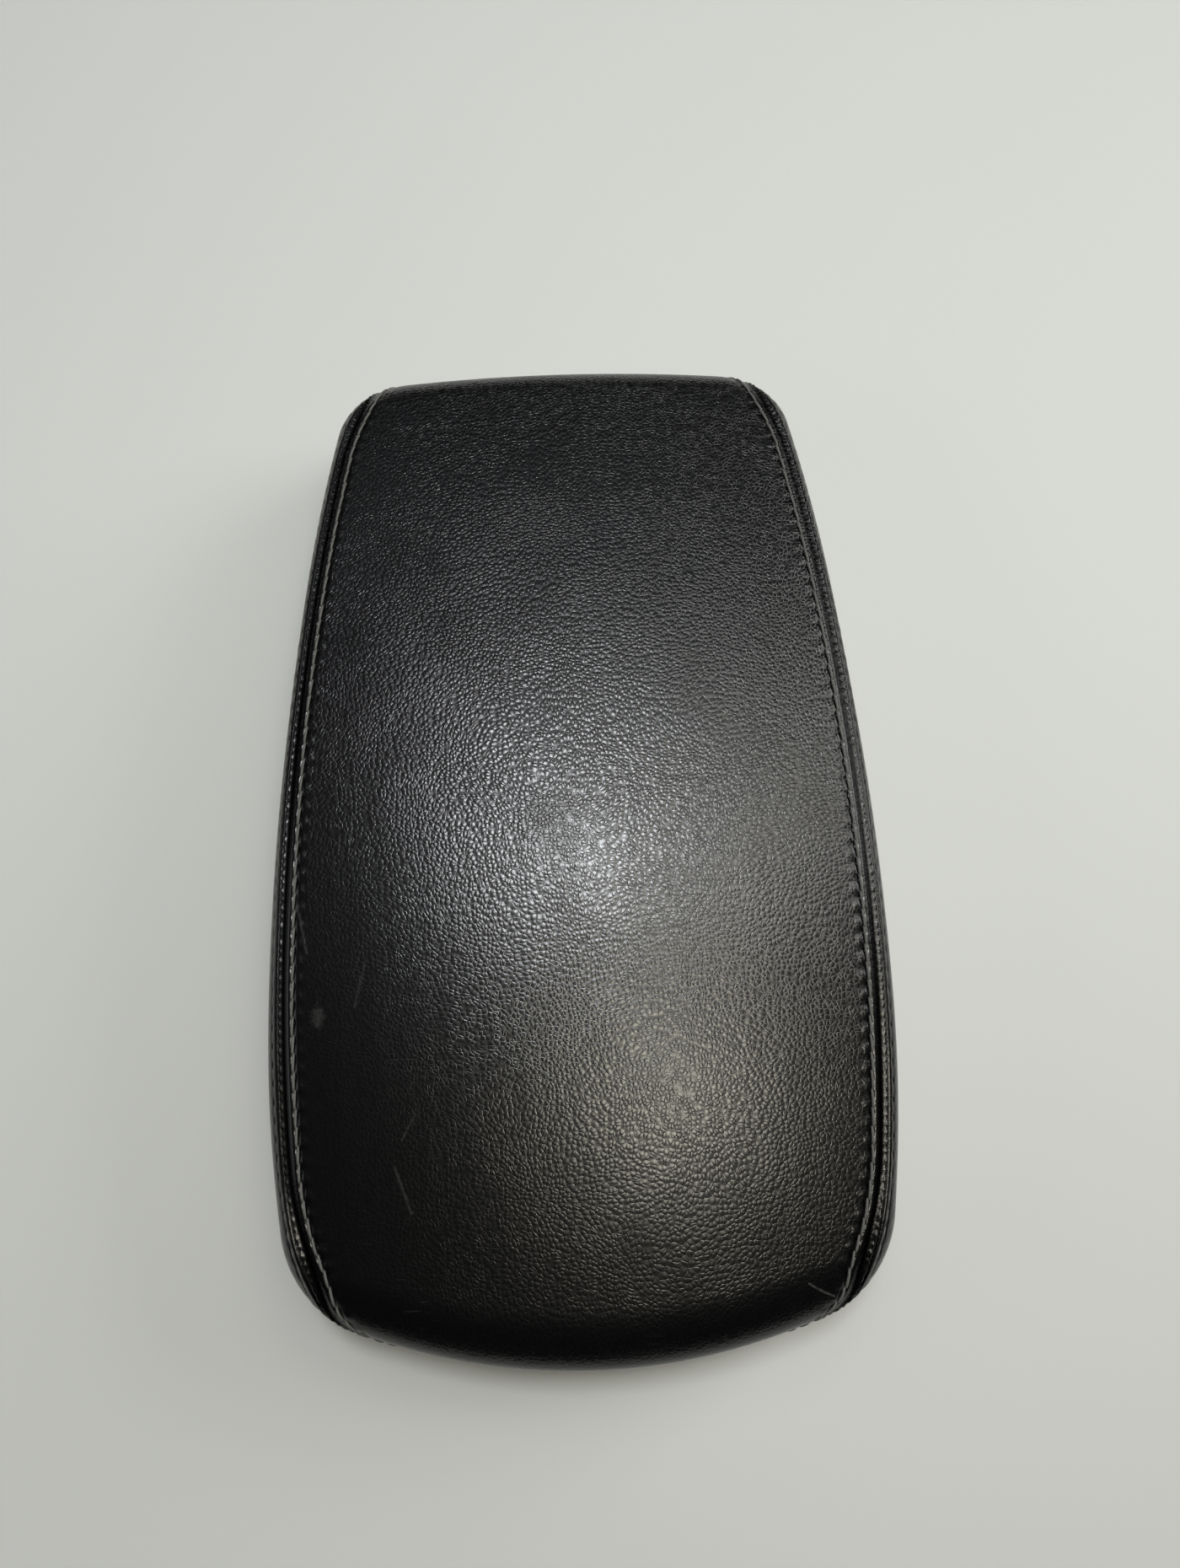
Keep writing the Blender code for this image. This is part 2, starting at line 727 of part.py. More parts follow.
def build_lower_cover():
    """Moulded panel that closes the underside: plate, skirt, posts and latch ears."""
    skirt = SKIRT_INSET + SKIRT_DRAFT
    rings = [
        inset_ring(PLATE_INSET + PLATE_CHAMFER, PLATE_TOP),
        inset_ring(PLATE_INSET, PLATE_TOP - PLATE_CHAMFER),
        inset_ring(PLATE_INSET, PLATE_BASE + PLATE_CHAMFER),
        inset_ring(PLATE_INSET + PLATE_CHAMFER, PLATE_BASE),
        inset_ring(SKIRT_INSET, PLATE_BASE),
        inset_ring(skirt, SKIRT_BASE),
        inset_ring(skirt + SKIRT_WALL, SKIRT_BASE),
        inset_ring(SKIRT_INSET + SKIRT_WALL, PLATE_BASE),
    ]
    cover = loft("lower_cover", rings, Vector((0, 0, PLATE_TOP)), Vector((0, 0, PLATE_BASE)))
    middle = (PLATE_TOP + PLATE_BASE) / 2.0
    posts = []
    for end in BUTTON_SPOTS:
        for side in ("left", "right"):
            spot = (*button_place(side, end), 0.0)
            low = BUTTON_HEIGHT + GAP
            posts.append(rod("post", POST_RADIUS, low, middle, (0, 0, 1), spot, 14))
    foot = (LATCH_Y - LATCH_EAR_FOOT, LATCH_Y + LATCH_EAR_FOOT)
    ear = lug_outline(LATCH_Y, LATCH_Z, LATCH_HUB, *foot, middle)
    for low in (-LATCH_EAR_X - EAR_WALL, LATCH_EAR_X):
        posts.append(prism("ear", ear, low, low + EAR_WALL, axis="X"))
    boolean(cover, posts, "UNION")
    far = LENGTH
    below = -COVER_BASE
    notch = LEAF_HALF + PLATE_CLEARANCE
    notch_front = HINGE_Y - HINGE_EAR - LEAF_LENGTH - PLATE_CLEARANCE - 4.0 * GAP
    mouth = PADDLE_HALF + PLATE_CLEARANCE
    mouth_back = LATCH_Y - LATCH_EAR_FOOT - 5.0 * GAP
    reach = 2.0 * LATCH_EAR_X
    cuts = [
        box("cut", (-far, SKIRT_REAR, below), (far, far, PLATE_BASE)),
        box("cut", (-notch, notch_front, below), (notch, far, 2.0 * COVER_BASE)),
        box("cut", (-mouth, -far, below), (mouth, mouth_back, PLATE_BASE)),
        rod("cut", LATCH_PIN + GAP, -reach, reach, (1, 0, 0), (0.0, LATCH_Y, LATCH_Z), 12),
    ]
    for x, y in screw_places():
        cuts.append(rod("cut", SCREW_RADIUS + GAP, 0.0, CROWN_TOP, (0, 0, 1), (x, y, 0.0), 10))
    for end in BUTTON_SPOTS:
        for side in ("left", "right"):
            spot = (*button_place(side, end), 0.0)
            top = BUTTON_HEIGHT + BUTTON_STEM_LENGTH + 2.0 * GAP
            cuts.append(rod("cut", BUTTON_STEM + GAP, 0.0, top, (0, 0, 1), spot, 10))
    return boolean(cover, cuts, "DIFFERENCE")


def repeat(name, profile, places, height, sides):
    """Same turned piece at several plan points, each its own object on one shared mesh."""
    items = []
    for number, (x, y) in enumerate(places, start=1):
        title = f"{name}_{number}"
        if not items:
            items.append(revolve(title, profile, (x, y, height), (0, 0, 1), sides))
            continue
        item = bpy.data.objects.new(title, items[0].data)
        item.location = (x, y, height)
        bpy.context.scene.collection.objects.link(item)
        items.append(item)
    return items


def screw_profile(radius, head, head_wall, length):
    """Turned outline of a pan head screw, with its seat at zero and its shank above it."""
    return [
        (0.0, -head_wall),
        (head * 0.62, -head_wall),
        (head, -head_wall * 0.45),
        (head, 0.0),
        (radius, 0.0),
        (radius, length - radius),
        (0.0, length),
    ]


def build_screws():
    """Screws of the lower cover and of the hinge leaf, and the inserts in the shell."""
    profile = screw_profile(SCREW_RADIUS, SCREW_HEAD, 0.0020, SCREW_LENGTH)
    cover_screws = repeat("cover_screw", profile, screw_places(), PLATE_BASE - GAP, 10)
    seat = LEAF_TOP - LEAF_WALL - GAP
    length = LEAF_WALL + INSERT_LENGTH + GAP
    profile = screw_profile(LEAF_SCREW_RADIUS, LEAF_SCREW_HEAD, 0.0024, length)
    leaf_screws = repeat("hinge_leaf_screw", profile, leaf_screw_places(), seat, 10)
    bore = LEAF_SCREW_RADIUS + GAP
    outer = bore + INSERT_WALL
    ring = [(bore, 0.0), (outer, 0.0), (outer, INSERT_LENGTH), (bore, INSERT_LENGTH)]
    inserts = repeat("hinge_insert", ring, leaf_screw_places(), RIB_BASE, 12)
    return cover_screws, leaf_screws, inserts


def build_buttons():
    """Four rubber buttons that the lid rests on."""
    buttons = []
    for end in BUTTON_SPOTS:
        for side in ("left", "right"):
            profile = [
                (0.0, 0.0),
                (BUTTON_RADIUS - BUTTON_CHAMFER, 0.0),
                (BUTTON_RADIUS, BUTTON_CHAMFER),
                (BUTTON_RADIUS, BUTTON_HEIGHT),
                (BUTTON_STEM, BUTTON_HEIGHT),
                (BUTTON_STEM, BUTTON_HEIGHT + BUTTON_STEM_LENGTH - BUTTON_CHAMFER),
                (0.0, BUTTON_HEIGHT + BUTTON_STEM_LENGTH),
            ]
            spot = (*button_place(side, end), 0.0)
            buttons.append(revolve(f"bump_stop_{end}_{side}", profile, spot, (0, 0, 1), 14))
    return buttons


def build_hinge():
    """Leaf, bracket, pin, clip and bushes."""
    axis_point = (0.0, HINGE_Y, HINGE_Z)
    along = (1, 0, 0)
    leaf_rear = HINGE_Y - HINGE_EAR - 4.0 * GAP
    low = LEAF_TOP - LEAF_WALL
    leaf = box("hinge_leaf", (-LEAF_HALF, leaf_rear - LEAF_LENGTH, low), (LEAF_HALF, leaf_rear, LEAF_TOP))
    ear = [
        (HINGE_Y + HINGE_EAR * math.cos(angle), HINGE_Z + HINGE_EAR * math.sin(angle))
        for angle in [math.radians(-110.0 + 220.0 * step / 14) for step in range(15)]
    ]
    ear += [(leaf_rear - 0.002, LEAF_TOP), (leaf_rear - 0.016, LEAF_TOP - LEAF_WALL / 2.0)]
    ear += [(leaf_rear - 0.010, low - 0.003)]
    half = EAR_WALL / 2.0
    lugs = [prism("ear", ear, x - half, x + half, axis="X") for x in (-LEAF_EAR_X, LEAF_EAR_X)]
    boolean(leaf, lugs, "UNION")
    bush_outer = HINGE_PIN + GAP + BUSH_WALL
    cuts = [rod("cut", bush_outer + GAP, -BRACKET_HALF, BRACKET_HALF, along, axis_point, 16)]
    for x, y in leaf_screw_places():
        cuts.append(rod("cut", LEAF_SCREW_RADIUS + GAP, 0.0, CROWN_TOP, (0, 0, 1), (x, y, 0.0), 12))
    boolean(leaf, cuts, "DIFFERENCE")

    flange_out = LEAF_EAR_X + half + GAP + BUSH_WALL
    ear_in = flange_out + GAP
    ear_out = ear_in + EAR_WALL
    bracket_rear = HINGE_Y + COVER_BASE - HINGE_Z - 3.0 * GAP
    front = bracket_rear - BRACKET_LENGTH
    bracket = box("hinge_bracket", (-BRACKET_HALF, front, 0.0), (BRACKET_HALF, bracket_rear, BRACKET_WALL))
    wrap = math.acos((bracket_rear - HINGE_Y) / HINGE_EAR)
    foot = (HINGE_Y - BRACKET_FOOT, bracket_rear, BRACKET_WALL / 2.0)
    side = lug_outline(HINGE_Y, HINGE_Z, HINGE_EAR, *foot, steps=18, wrap=wrap)
    lugs = []
    for start in (-ear_out, ear_in):
        lugs.append(prism("lug", side, start, start + EAR_WALL, axis="X"))
    boolean(bracket, lugs, "UNION")
    cuts = [rod("cut", HINGE_PIN + GAP, -BRACKET_HALF, BRACKET_HALF, along, axis_point, 16)]
    margin = 3.0 * BRACKET_HOLE
    for x in (-BRACKET_HOLE_X, BRACKET_HOLE_X):
        for y in (front + margin, bracket_rear - margin):
            cuts.append(rod("cut", BRACKET_HOLE, -HINGE_Z, HINGE_Z, (0, 0, 1), (x, y, 0.0), 16))
    boolean(bracket, cuts, "DIFFERENCE")

    groove = ear_out + 2.0 * GAP
    clip_wall = 0.0008
    groove_end = groove + clip_wall + 2.0 * GAP
    groove_radius = HINGE_PIN - 0.0005
    head = -ear_out - GAP
    profile = [
        (0.0, head - 0.0020),
        (HINGE_PIN * 1.5, head - 0.0020),
        (HINGE_PIN * 1.8, head - 0.0014),
        (HINGE_PIN * 1.8, head),
        (HINGE_PIN, head),
        (HINGE_PIN, groove),
        (groove_radius, groove),
        (groove_radius, groove_end),
        (HINGE_PIN, groove_end),
        (HINGE_PIN, groove_end + 0.0010),
        (0.0, groove_end + 0.0016),
    ]
    pin = revolve("hinge_pin", profile, axis_point, along, 16)
    clip_inner = groove_radius + GAP
    clip_outer = clip_inner + 0.0017
    clip_start = groove + GAP
    arc = [math.radians(-150.0 + 300.0 * step / 18) for step in range(19)]
    ring = [
        (HINGE_Y + clip_outer * math.sin(angle), HINGE_Z + clip_outer * math.cos(angle)) for angle in arc
    ]
    ring += [
        (HINGE_Y + clip_inner * math.sin(angle), HINGE_Z + clip_inner * math.cos(angle))
        for angle in reversed(arc)
    ]
    clip = prism("hinge_pin_clip", ring, clip_start, clip_start + clip_wall, axis="X")

    bushes = []
    for side_name, sign in (("left", -1.0), ("right", 1.0)):
        bore = HINGE_PIN + GAP
        inboard = LEAF_EAR_X - half - GAP
        shoulder = LEAF_EAR_X + half + GAP
        profile = [
            (bore, sign * inboard),
            (bush_outer, sign * inboard),
            (bush_outer, sign * shoulder),
            (BUSH_FLANGE, sign * shoulder),
            (BUSH_FLANGE, sign * flange_out),
            (bore, sign * flange_out),
        ]
        bushes.append(revolve(f"hinge_bush_{side_name}", profile, axis_point, along, 16))
    return leaf, bracket, pin, clip, bushes


def build_latch_lever():
    """Finger paddle with its hubs and hook in one piece."""
    low = LATCH_Z - 0.0020
    high = low + PADDLE_WALL
    front = LATCH_Y - PADDLE_REACH
    back = LATCH_Y - LATCH_HUB - 0.0014
    corner = 0.005
    plan = [(-PADDLE_HALF, back), (PADDLE_HALF, back)]
    for sign in (1.0, -1.0):
        for step in range(6):
            angle = math.pi / 2.0 * step / 5
            if sign < 0.0:
                angle = math.pi / 2.0 - angle
            x = sign * (PADDLE_HALF - corner + corner * math.cos(angle))
            plan.append((x, front + corner - corner * math.sin(angle)))
    lever = prism("latch_lever", plan, low, high)
    place = (0.0, LATCH_Y, LATCH_Z)
    left = -LATCH_EAR_X + GAP
    right = LATCH_EAR_X - GAP
    parts = [
        box("arm", (left, back - 0.002, low), (LATCH_HUB_END, LATCH_Y, high)),
        box("arm", (LATCH_HUB_RIGHT, back - 0.002, low), (right, LATCH_Y, high)),
        rod("hub", LATCH_HUB, left, LATCH_HUB_END, (1, 0, 0), place, 16),
        rod("hub", LATCH_HUB, LATCH_HUB_RIGHT, right, (1, 0, 0), place, 16),
    ]
    tip = LATCH_Z - HOOK_DROP
    hook = [
        (LATCH_Y - 0.0022, LATCH_Z),
        (LATCH_Y - 0.0016, tip + 0.0004),
        (LATCH_Y - 0.0010, tip),
        (LATCH_Y + 0.0040, tip + 0.0009),
        (LATCH_Y + 0.0040, tip + 0.0021),
        (LATCH_Y + 0.0016, tip + 0.0021),
        (LATCH_Y + 0.0022, LATCH_Z),
    ]
    parts.append(prism("hook", hook, -LATCH_HUB_END, LATCH_HUB_END, axis="X"))
    boolean(lever, parts, "UNION")
    bore = rod("cut", LATCH_PIN + GAP, -PADDLE_HALF, PADDLE_HALF, (1, 0, 0), place, 12)
    return boolean(lever, [bore], "DIFFERENCE")


def build_latch_pin():
    """Riveted pin of the latch lever."""
    end = LATCH_EAR_X + EAR_WALL + GAP
    profile = [
        (0.0, -end - 0.0012),
        (LATCH_PIN * 1.2, -end - 0.0012),
        (LATCH_PIN * 1.6, -end - 0.0006),
        (LATCH_PIN * 1.6, -end),
        (LATCH_PIN, -end),
        (LATCH_PIN, end),
        (LATCH_PIN * 1.5, end),
        (LATCH_PIN * 1.5, end + 0.0005),
        (LATCH_PIN * 1.1, end + 0.0010),
        (0.0, end + 0.0010),
    ]
    return revolve("latch_pin", profile, (0.0, LATCH_Y, LATCH_Z), (1, 0, 0), 12)


def build_latch_spring():
    """Torsion spring round the latch pin, with a leg to the lower cover and one over the paddle."""
    steps = 12
    path = []
    count = SPRING_TURNS * steps + steps // 4
    for step in range(count + 1):
        turn = 2.0 * math.pi * step / steps
        x = SPRING_START + SPRING_PITCH * step / steps
        path.append(
            Vector(
                (
                    x,
                    LATCH_Y + SPRING_RADIUS * math.cos(turn),
                    LATCH_Z + SPRING_RADIUS * math.sin(turn),
                )
            )
        )
    first_leg = path[0] + Vector((0.0, 0.0, -0.0020))
    last_leg = path[-1] + Vector((0.0, -0.0062, 0.0))
    path = [first_leg, *path, last_leg]
    data = bmesh.new()
    rings = []
    for index, spot in enumerate(path):
        before = path[max(index - 1, 0)]
        after = path[min(index + 1, len(path) - 1)]
        tangent = (after - before).normalized()
        side = tangent.cross(Vector((1.0, 0.0, 0.0))).normalized()
        up = side.cross(tangent).normalized()
        ring = []
        for corner in range(5):
            angle = 2.0 * math.pi * corner / 5
            offset = side * math.cos(angle) + up * math.sin(angle)
            ring.append(data.verts.new(spot + offset * SPRING_WIRE))
        rings.append(ring)
    for first, second in zip(rings, rings[1:]):
        bridge(data, first, second)
    data.faces.new(rings[0])
    data.faces.new(rings[-1])
    return add_object("latch_spring", data)


def hang_on(empty_name, point, items):
    """Parent items to an empty on a joint axis, each where it lies."""
    empty = bpy.data.objects.new(empty_name, None)
    empty.empty_display_size = 0.02
    empty.location = point
    bpy.context.scene.collection.objects.link(empty)
    for item in items:
        item.parent = empty
        item.matrix_parent_inverse = Matrix.Translation(-Vector(point))
    return empty


def paint(items, material):
    """Give every item one material."""
    for item in items:
        item.data.materials.clear()
        item.data.materials.append(material)


def main():
    """Build every piece, give it a material and hang it on its axis."""
    clear_file()
    covers = build_cover()
    foam = layer_solid("foam_pad", FOAM_OUTER, FOAM_INNER, BACK_STEPS, CORE_STEPS)
    shell = build_shell()
    lower = build_lower_cover()
    cover_screws, leaf_screws, inserts = build_screws()
    buttons = build_buttons()
    leaf, bracket, pin, clip, bushes = build_hinge()
    lever = build_latch_lever()
    latch_pin = build_latch_pin()
    spring = build_latch_spring()

    paint(covers, make_material("black_leather", (0.018, 0.018, 0.020), 0.42))
    paint([foam], make_material("padding_foam", (0.32, 0.30, 0.26), 0.95))
    paint([shell, lower, lever], make_material("black_plastic", (0.022, 0.022, 0.024), 0.55))
    paint([leaf, bracket], make_material("hinge_steel", (0.45, 0.45, 0.46), 0.38, 1.0))
    paint([pin, clip, latch_pin, spring], make_material("bright_steel", (0.58, 0.58, 0.60), 0.28, 1.0))
    paint([*cover_screws, *leaf_screws], make_material("screw_steel", (0.10, 0.10, 0.11), 0.42, 1.0))
    paint(inserts, make_material("insert_brass", (0.62, 0.46, 0.20), 0.35, 1.0))
    paint(bushes, make_material("white_plastic", (0.72, 0.72, 0.70), 0.40))
    paint(buttons, make_material("black_rubber", (0.012, 0.012, 0.013), 0.85))

    hinge_point = (0.0, HINGE_Y, HINGE_Z)
    fixed = [*covers, foam, shell, lower, *cover_screws, *leaf_screws, *inserts, *buttons]
    fixed += [leaf, *bushes, latch_pin, spring]
    hang_on("lid_axis", hinge_point, fixed)
    hang_on("latch_axis", (0.0, LATCH_Y, LATCH_Z), [lever])


main()
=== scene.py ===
"""Looks for the padded console armrest lid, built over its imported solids.

The leather cover is modelled again at a fine step from the same outline and crown as the solids,
with the stitched seam pressed into it, and every other piece gets a procedural finish.
"""

from __future__ import annotations

import json
import logging
import math
from dataclasses import dataclass, field
from enum import Enum
from functools import cache, partial

import bpy
import numpy as np
from mathutils import Matrix, Vector

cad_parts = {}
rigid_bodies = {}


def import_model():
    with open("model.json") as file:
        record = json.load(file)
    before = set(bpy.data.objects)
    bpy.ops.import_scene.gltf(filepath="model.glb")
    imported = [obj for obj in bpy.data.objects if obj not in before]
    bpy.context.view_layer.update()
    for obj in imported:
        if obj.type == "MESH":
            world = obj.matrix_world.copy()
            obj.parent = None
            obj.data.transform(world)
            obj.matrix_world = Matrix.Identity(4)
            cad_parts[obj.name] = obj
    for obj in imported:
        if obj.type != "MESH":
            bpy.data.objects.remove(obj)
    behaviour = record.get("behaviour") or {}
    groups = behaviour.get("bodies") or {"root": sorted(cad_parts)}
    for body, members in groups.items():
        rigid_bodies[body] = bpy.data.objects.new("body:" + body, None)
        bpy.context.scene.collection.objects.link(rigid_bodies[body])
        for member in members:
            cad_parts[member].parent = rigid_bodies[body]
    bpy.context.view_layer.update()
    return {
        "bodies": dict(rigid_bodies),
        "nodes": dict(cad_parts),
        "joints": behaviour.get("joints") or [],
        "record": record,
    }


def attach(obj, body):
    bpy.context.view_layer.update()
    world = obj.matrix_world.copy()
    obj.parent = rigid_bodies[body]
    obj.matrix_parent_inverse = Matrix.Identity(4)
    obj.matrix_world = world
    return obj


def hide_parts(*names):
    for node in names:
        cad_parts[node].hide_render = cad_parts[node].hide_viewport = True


LOG = logging.getLogger("armrest")
MM = 0.001


class Side(Enum):
    """The two long sides of the lid."""

    LEFT = -1.0
    RIGHT = 1.0


class Row(Enum):
    """The two rows of topstitching beside each seam."""

    INNER = -1.0
    OUTER = 1.0


@dataclass(frozen=True)
class PadForm:
    """Outline, crown and walls of the padded lid, in metres."""

    length: float = 0.310
    width: float = 0.1785
    widest_y: float = -0.14 * 0.310
    side_radius: float = 1.12
    flank_radius: float = 0.68
    front_radius: float = 0.183
    front_corner: float = 0.031
    rear_radius: float = 1.13
    rear_corner: float = 0.025
    crown_top: float = 0.056
    length_crown: float = 0.771
    width_crown: float = 0.70
    side_shoulder: float = 0.0085
    end_shoulder: float = 0.0125
    front_reach: float = 0.0035
    front_lift: float = 0.0045
    bulge: float = 0.0012
    tuck: float = 0.0020
    base: float = 0.0153
    hem: float = 0.006

    def side_arc(self, y: float) -> tuple[np.ndarray, float]:
        """Return centre and radius of the right side's arc that holds a place along Y."""
        radius = self.flank_radius if y < self.widest_y else self.side_radius
        return np.array([self.width / 2.0 - radius, self.widest_y]), radius

    def corner_centre(self, end: np.ndarray, end_radius: float, radius: float, y: float) -> np.ndarray:
        """Find the centre of a corner arc that touches the side arc and an end arc from inside.

        Args:
            end: Centre of the end's arc.
            end_radius: Radius of the end's arc.
            radius: Radius of the corner.
            y: A place along Y on the side arc that the corner touches.

        Returns:
            The corner's centre on the right side.
        """
        side, side_radius = self.side_arc(y)
        reach_side = side_radius - radius
        reach_end = end_radius - radius
        span = end - side
        distance = float(np.hypot(*span))
        along = (reach_side**2 - reach_end**2 + distance**2) / (2.0 * distance)
        across = math.sqrt(reach_side**2 - along**2)
        direction = span / distance
        sideways = np.array([-direction[1], direction[0]])
        options = [side + direction * along + sideways * across * sign for sign in (1.0, -1.0)]
        return max(options, key=lambda point: point[0])

    def arcs(self) -> list[tuple[np.ndarray, float, float, float]]:
        """Return the right half's arcs as centre, radius, first angle and last angle."""
        half = self.length / 2.0
        flank, side = self.side_arc(-half)[0], self.side_arc(half)[0]
        front = np.array([0.0, self.front_radius - half])
        rear = np.array([0.0, half - self.rear_radius])
        low = self.corner_centre(front, self.front_radius, self.front_corner, -half)
        high = self.corner_centre(rear, self.rear_radius, self.rear_corner, half)

        def heading(start: np.ndarray, stop: np.ndarray) -> float:
            return math.atan2(stop[1] - start[1], stop[0] - start[0])

        turns = (heading(front, low), heading(flank, low), heading(side, high), heading(rear, high))
        return [
            (front, self.front_radius, -math.pi / 2.0, turns[0]),
            (low, self.front_corner, turns[0], turns[1]),
            (flank, self.flank_radius, turns[1], 0.0),
            (side, self.side_radius, 0.0, turns[2]),
            (high, self.rear_corner, turns[2], turns[3]),
            (rear, self.rear_radius, turns[3], math.pi / 2.0),
        ]

    def crown(self, plan: np.ndarray) -> np.ndarray:
        """Return the crown's height over plan points."""
        drop = plan[..., 1] ** 2 / (2.0 * self.length_crown)
        return self.crown_top - drop - plan[..., 0] ** 2 / (2.0 * self.width_crown)


@dataclass
class PadSurface:
    """The leather's face as a map from a place round the outline and a depth to a point in space."""

    form: PadForm
    spacing: float = 0.25 * MM
    girth: np.ndarray = field(init=False)
    points: np.ndarray = field(init=False)
    normals: np.ndarray = field(init=False)
    total: float = field(init=False)

    def __post_init__(self) -> None:
        """Sample the whole outline finely, from the front middle round by the right side."""
        points, normals, girth, run = [], [], [], 0.0
        for centre, radius, first, last in self.form.arcs():
            count = max(2, int(radius * (last - first) / self.spacing))
            angles = np.linspace(first, last, count, endpoint=False)
            unit = np.stack([np.cos(angles), np.sin(angles)], axis=1)
            points.append(centre + unit * radius)
            normals.append(unit)
            girth.append(run + radius * (angles - first))
            run += radius * (last - first)
        half_points, half_normals = np.concatenate(points), np.concatenate(normals)
        half_girth = np.concatenate(girth)
        end = np.array([[0.0, self.form.length / 2.0]])
        flip = np.array([-1.0, 1.0])
        self.points = np.concatenate([half_points, end, half_points[::-1] * flip])
        self.normals = np.concatenate([half_normals, [[0.0, 1.0]], half_normals[::-1] * flip])
        self.girth = np.concatenate([half_girth, [run], 2.0 * run - half_girth[::-1]])
        self.total = 2.0 * run

    def outline(self, place: np.ndarray) -> tuple[np.ndarray, np.ndarray]:
        """Return outline points and outward normals at places round the girth."""
        place = np.mod(place, self.total)
        point = np.stack([np.interp(place, self.girth, self.points[:, k]) for k in (0, 1)], axis=-1)
        normal = np.stack([np.interp(place, self.girth, self.normals[:, k]) for k in (0, 1)], axis=-1)
        return point, normal / np.linalg.norm(normal, axis=-1, keepdims=True)

    def shoulder(self, normal: np.ndarray) -> np.ndarray:
        """Return the shoulder's radius for outline normals."""
        form = self.form
        return form.side_shoulder + (form.end_shoulder - form.side_shoulder) * normal[..., 1] ** 2

    def reach_and_drop(self, normal: np.ndarray) -> tuple[np.ndarray, np.ndarray]:
        """Return how far the shoulder reaches in and how far it drops, which differ at the front."""
        radius = self.shoulder(normal)
        front = np.maximum(-normal[..., 1], 0.0) ** 2
        return radius + self.form.front_reach * front, radius - self.form.front_lift * front

    def wall_length(self, place: np.ndarray) -> np.ndarray:
        """Return the height of the wall under the shoulder at places round the girth."""
        point, normal = self.outline(place)
        return self.form.crown(point) - self.reach_and_drop(normal)[1] - self.form.base

    def bottom(self, place: np.ndarray) -> np.ndarray:
        """Return the depth of the lower edge at places round the girth."""
        _, normal = self.outline(place)
        return self.shoulder(normal) * math.pi / 2.0 + self.wall_length(place)

    def position(self, place: np.ndarray, depth: np.ndarray) -> np.ndarray:
        """Return points of the smooth face.

        Args:
            place: Distance round the outline from the front middle.
            depth: Distance down the profile. It is 0 where the shoulder meets the crown, negative
                toward the middle of the crown, and ends at the lower edge.

        Returns:
            Points with a last axis of three.
        """
        form = self.form
        point, normal = self.outline(place)
        radius = self.shoulder(normal)
        reach, drop = self.reach_and_drop(normal)
        spring = form.crown(point) - drop
        angle = np.clip(math.pi / 2.0 - depth / radius, 0.0, math.pi / 2.0)
        inset = reach * (1.0 - np.cos(angle)) + np.maximum(-depth, 0.0)
        plan = point - normal * inset[..., None]
        height = form.crown(plan) - drop * (1.0 - np.sin(angle))
        wall = np.maximum(depth - radius * math.pi / 2.0, 0.0)
        height = height - wall
        share = np.clip((spring - height) / (spring - form.base), 0.0, 1.0)
        lean = form.bulge * 4.0 * share * (1.0 - share) - form.tuck * share**3
        plan = plan + normal * lean[..., None]
        return np.concatenate([plan, height[..., None]], axis=-1)

    def normal(self, place: np.ndarray, depth: np.ndarray) -> np.ndarray:
        """Return outward unit normals of the smooth face."""
        step = 0.2 * MM
        round_way = self.position(place + step, depth) - self.position(place - step, depth)
        down_way = self.position(place, depth + step) - self.position(place, depth - step)
        normal = np.cross(down_way, round_way)
        return normal / np.linalg.norm(normal, axis=-1, keepdims=True)


@dataclass(frozen=True)
class SeamForm:
    """Course and section of the stitched seam, in metres.

    Each bell is a centre and a width across the seam in millimetres.
    """

    inset: float = 0.0037
    front_radius: float = 0.11
    rear_radius: float = 0.09
    front_turn: float = -0.32 * 0.310
    rear_turn: float = 0.38 * 0.310
    inner_row: float = 0.0049
    outer_row: float = 0.0019
    pitch: float = 0.0050
    tick_pitch: float = 0.0025
    thread: float = 0.00041
    groove: float = 0.00080
    groove_width: float = 0.00042
    ridge: float = 0.00040
    valley: float = 0.00042
    row_dip: float = 0.00040
    hole: float = 0.00055
    pucker: float = 0.00012
    tick_share: float = 0.42
    fold_share: float = 0.35
    ridge_bell: tuple[float, float] = (-0.72, 0.62)
    fold_bell: tuple[float, float] = (1.0, 0.7)
    valley_bell: tuple[float, float] = (-2.5, 1.1)
    gap_bell: tuple[float, float] = (-2.45, 1.05)
    join_bell: tuple[float, float] = (0.15, 0.45)


def seam_bell(distance: np.ndarray, centre: float, width: float) -> np.ndarray:
    """Return a smooth bump of height 1 across the seam, with its centre and width in millimetres."""
    return np.exp(-(((distance - centre * MM) / (width * MM)) ** 2))


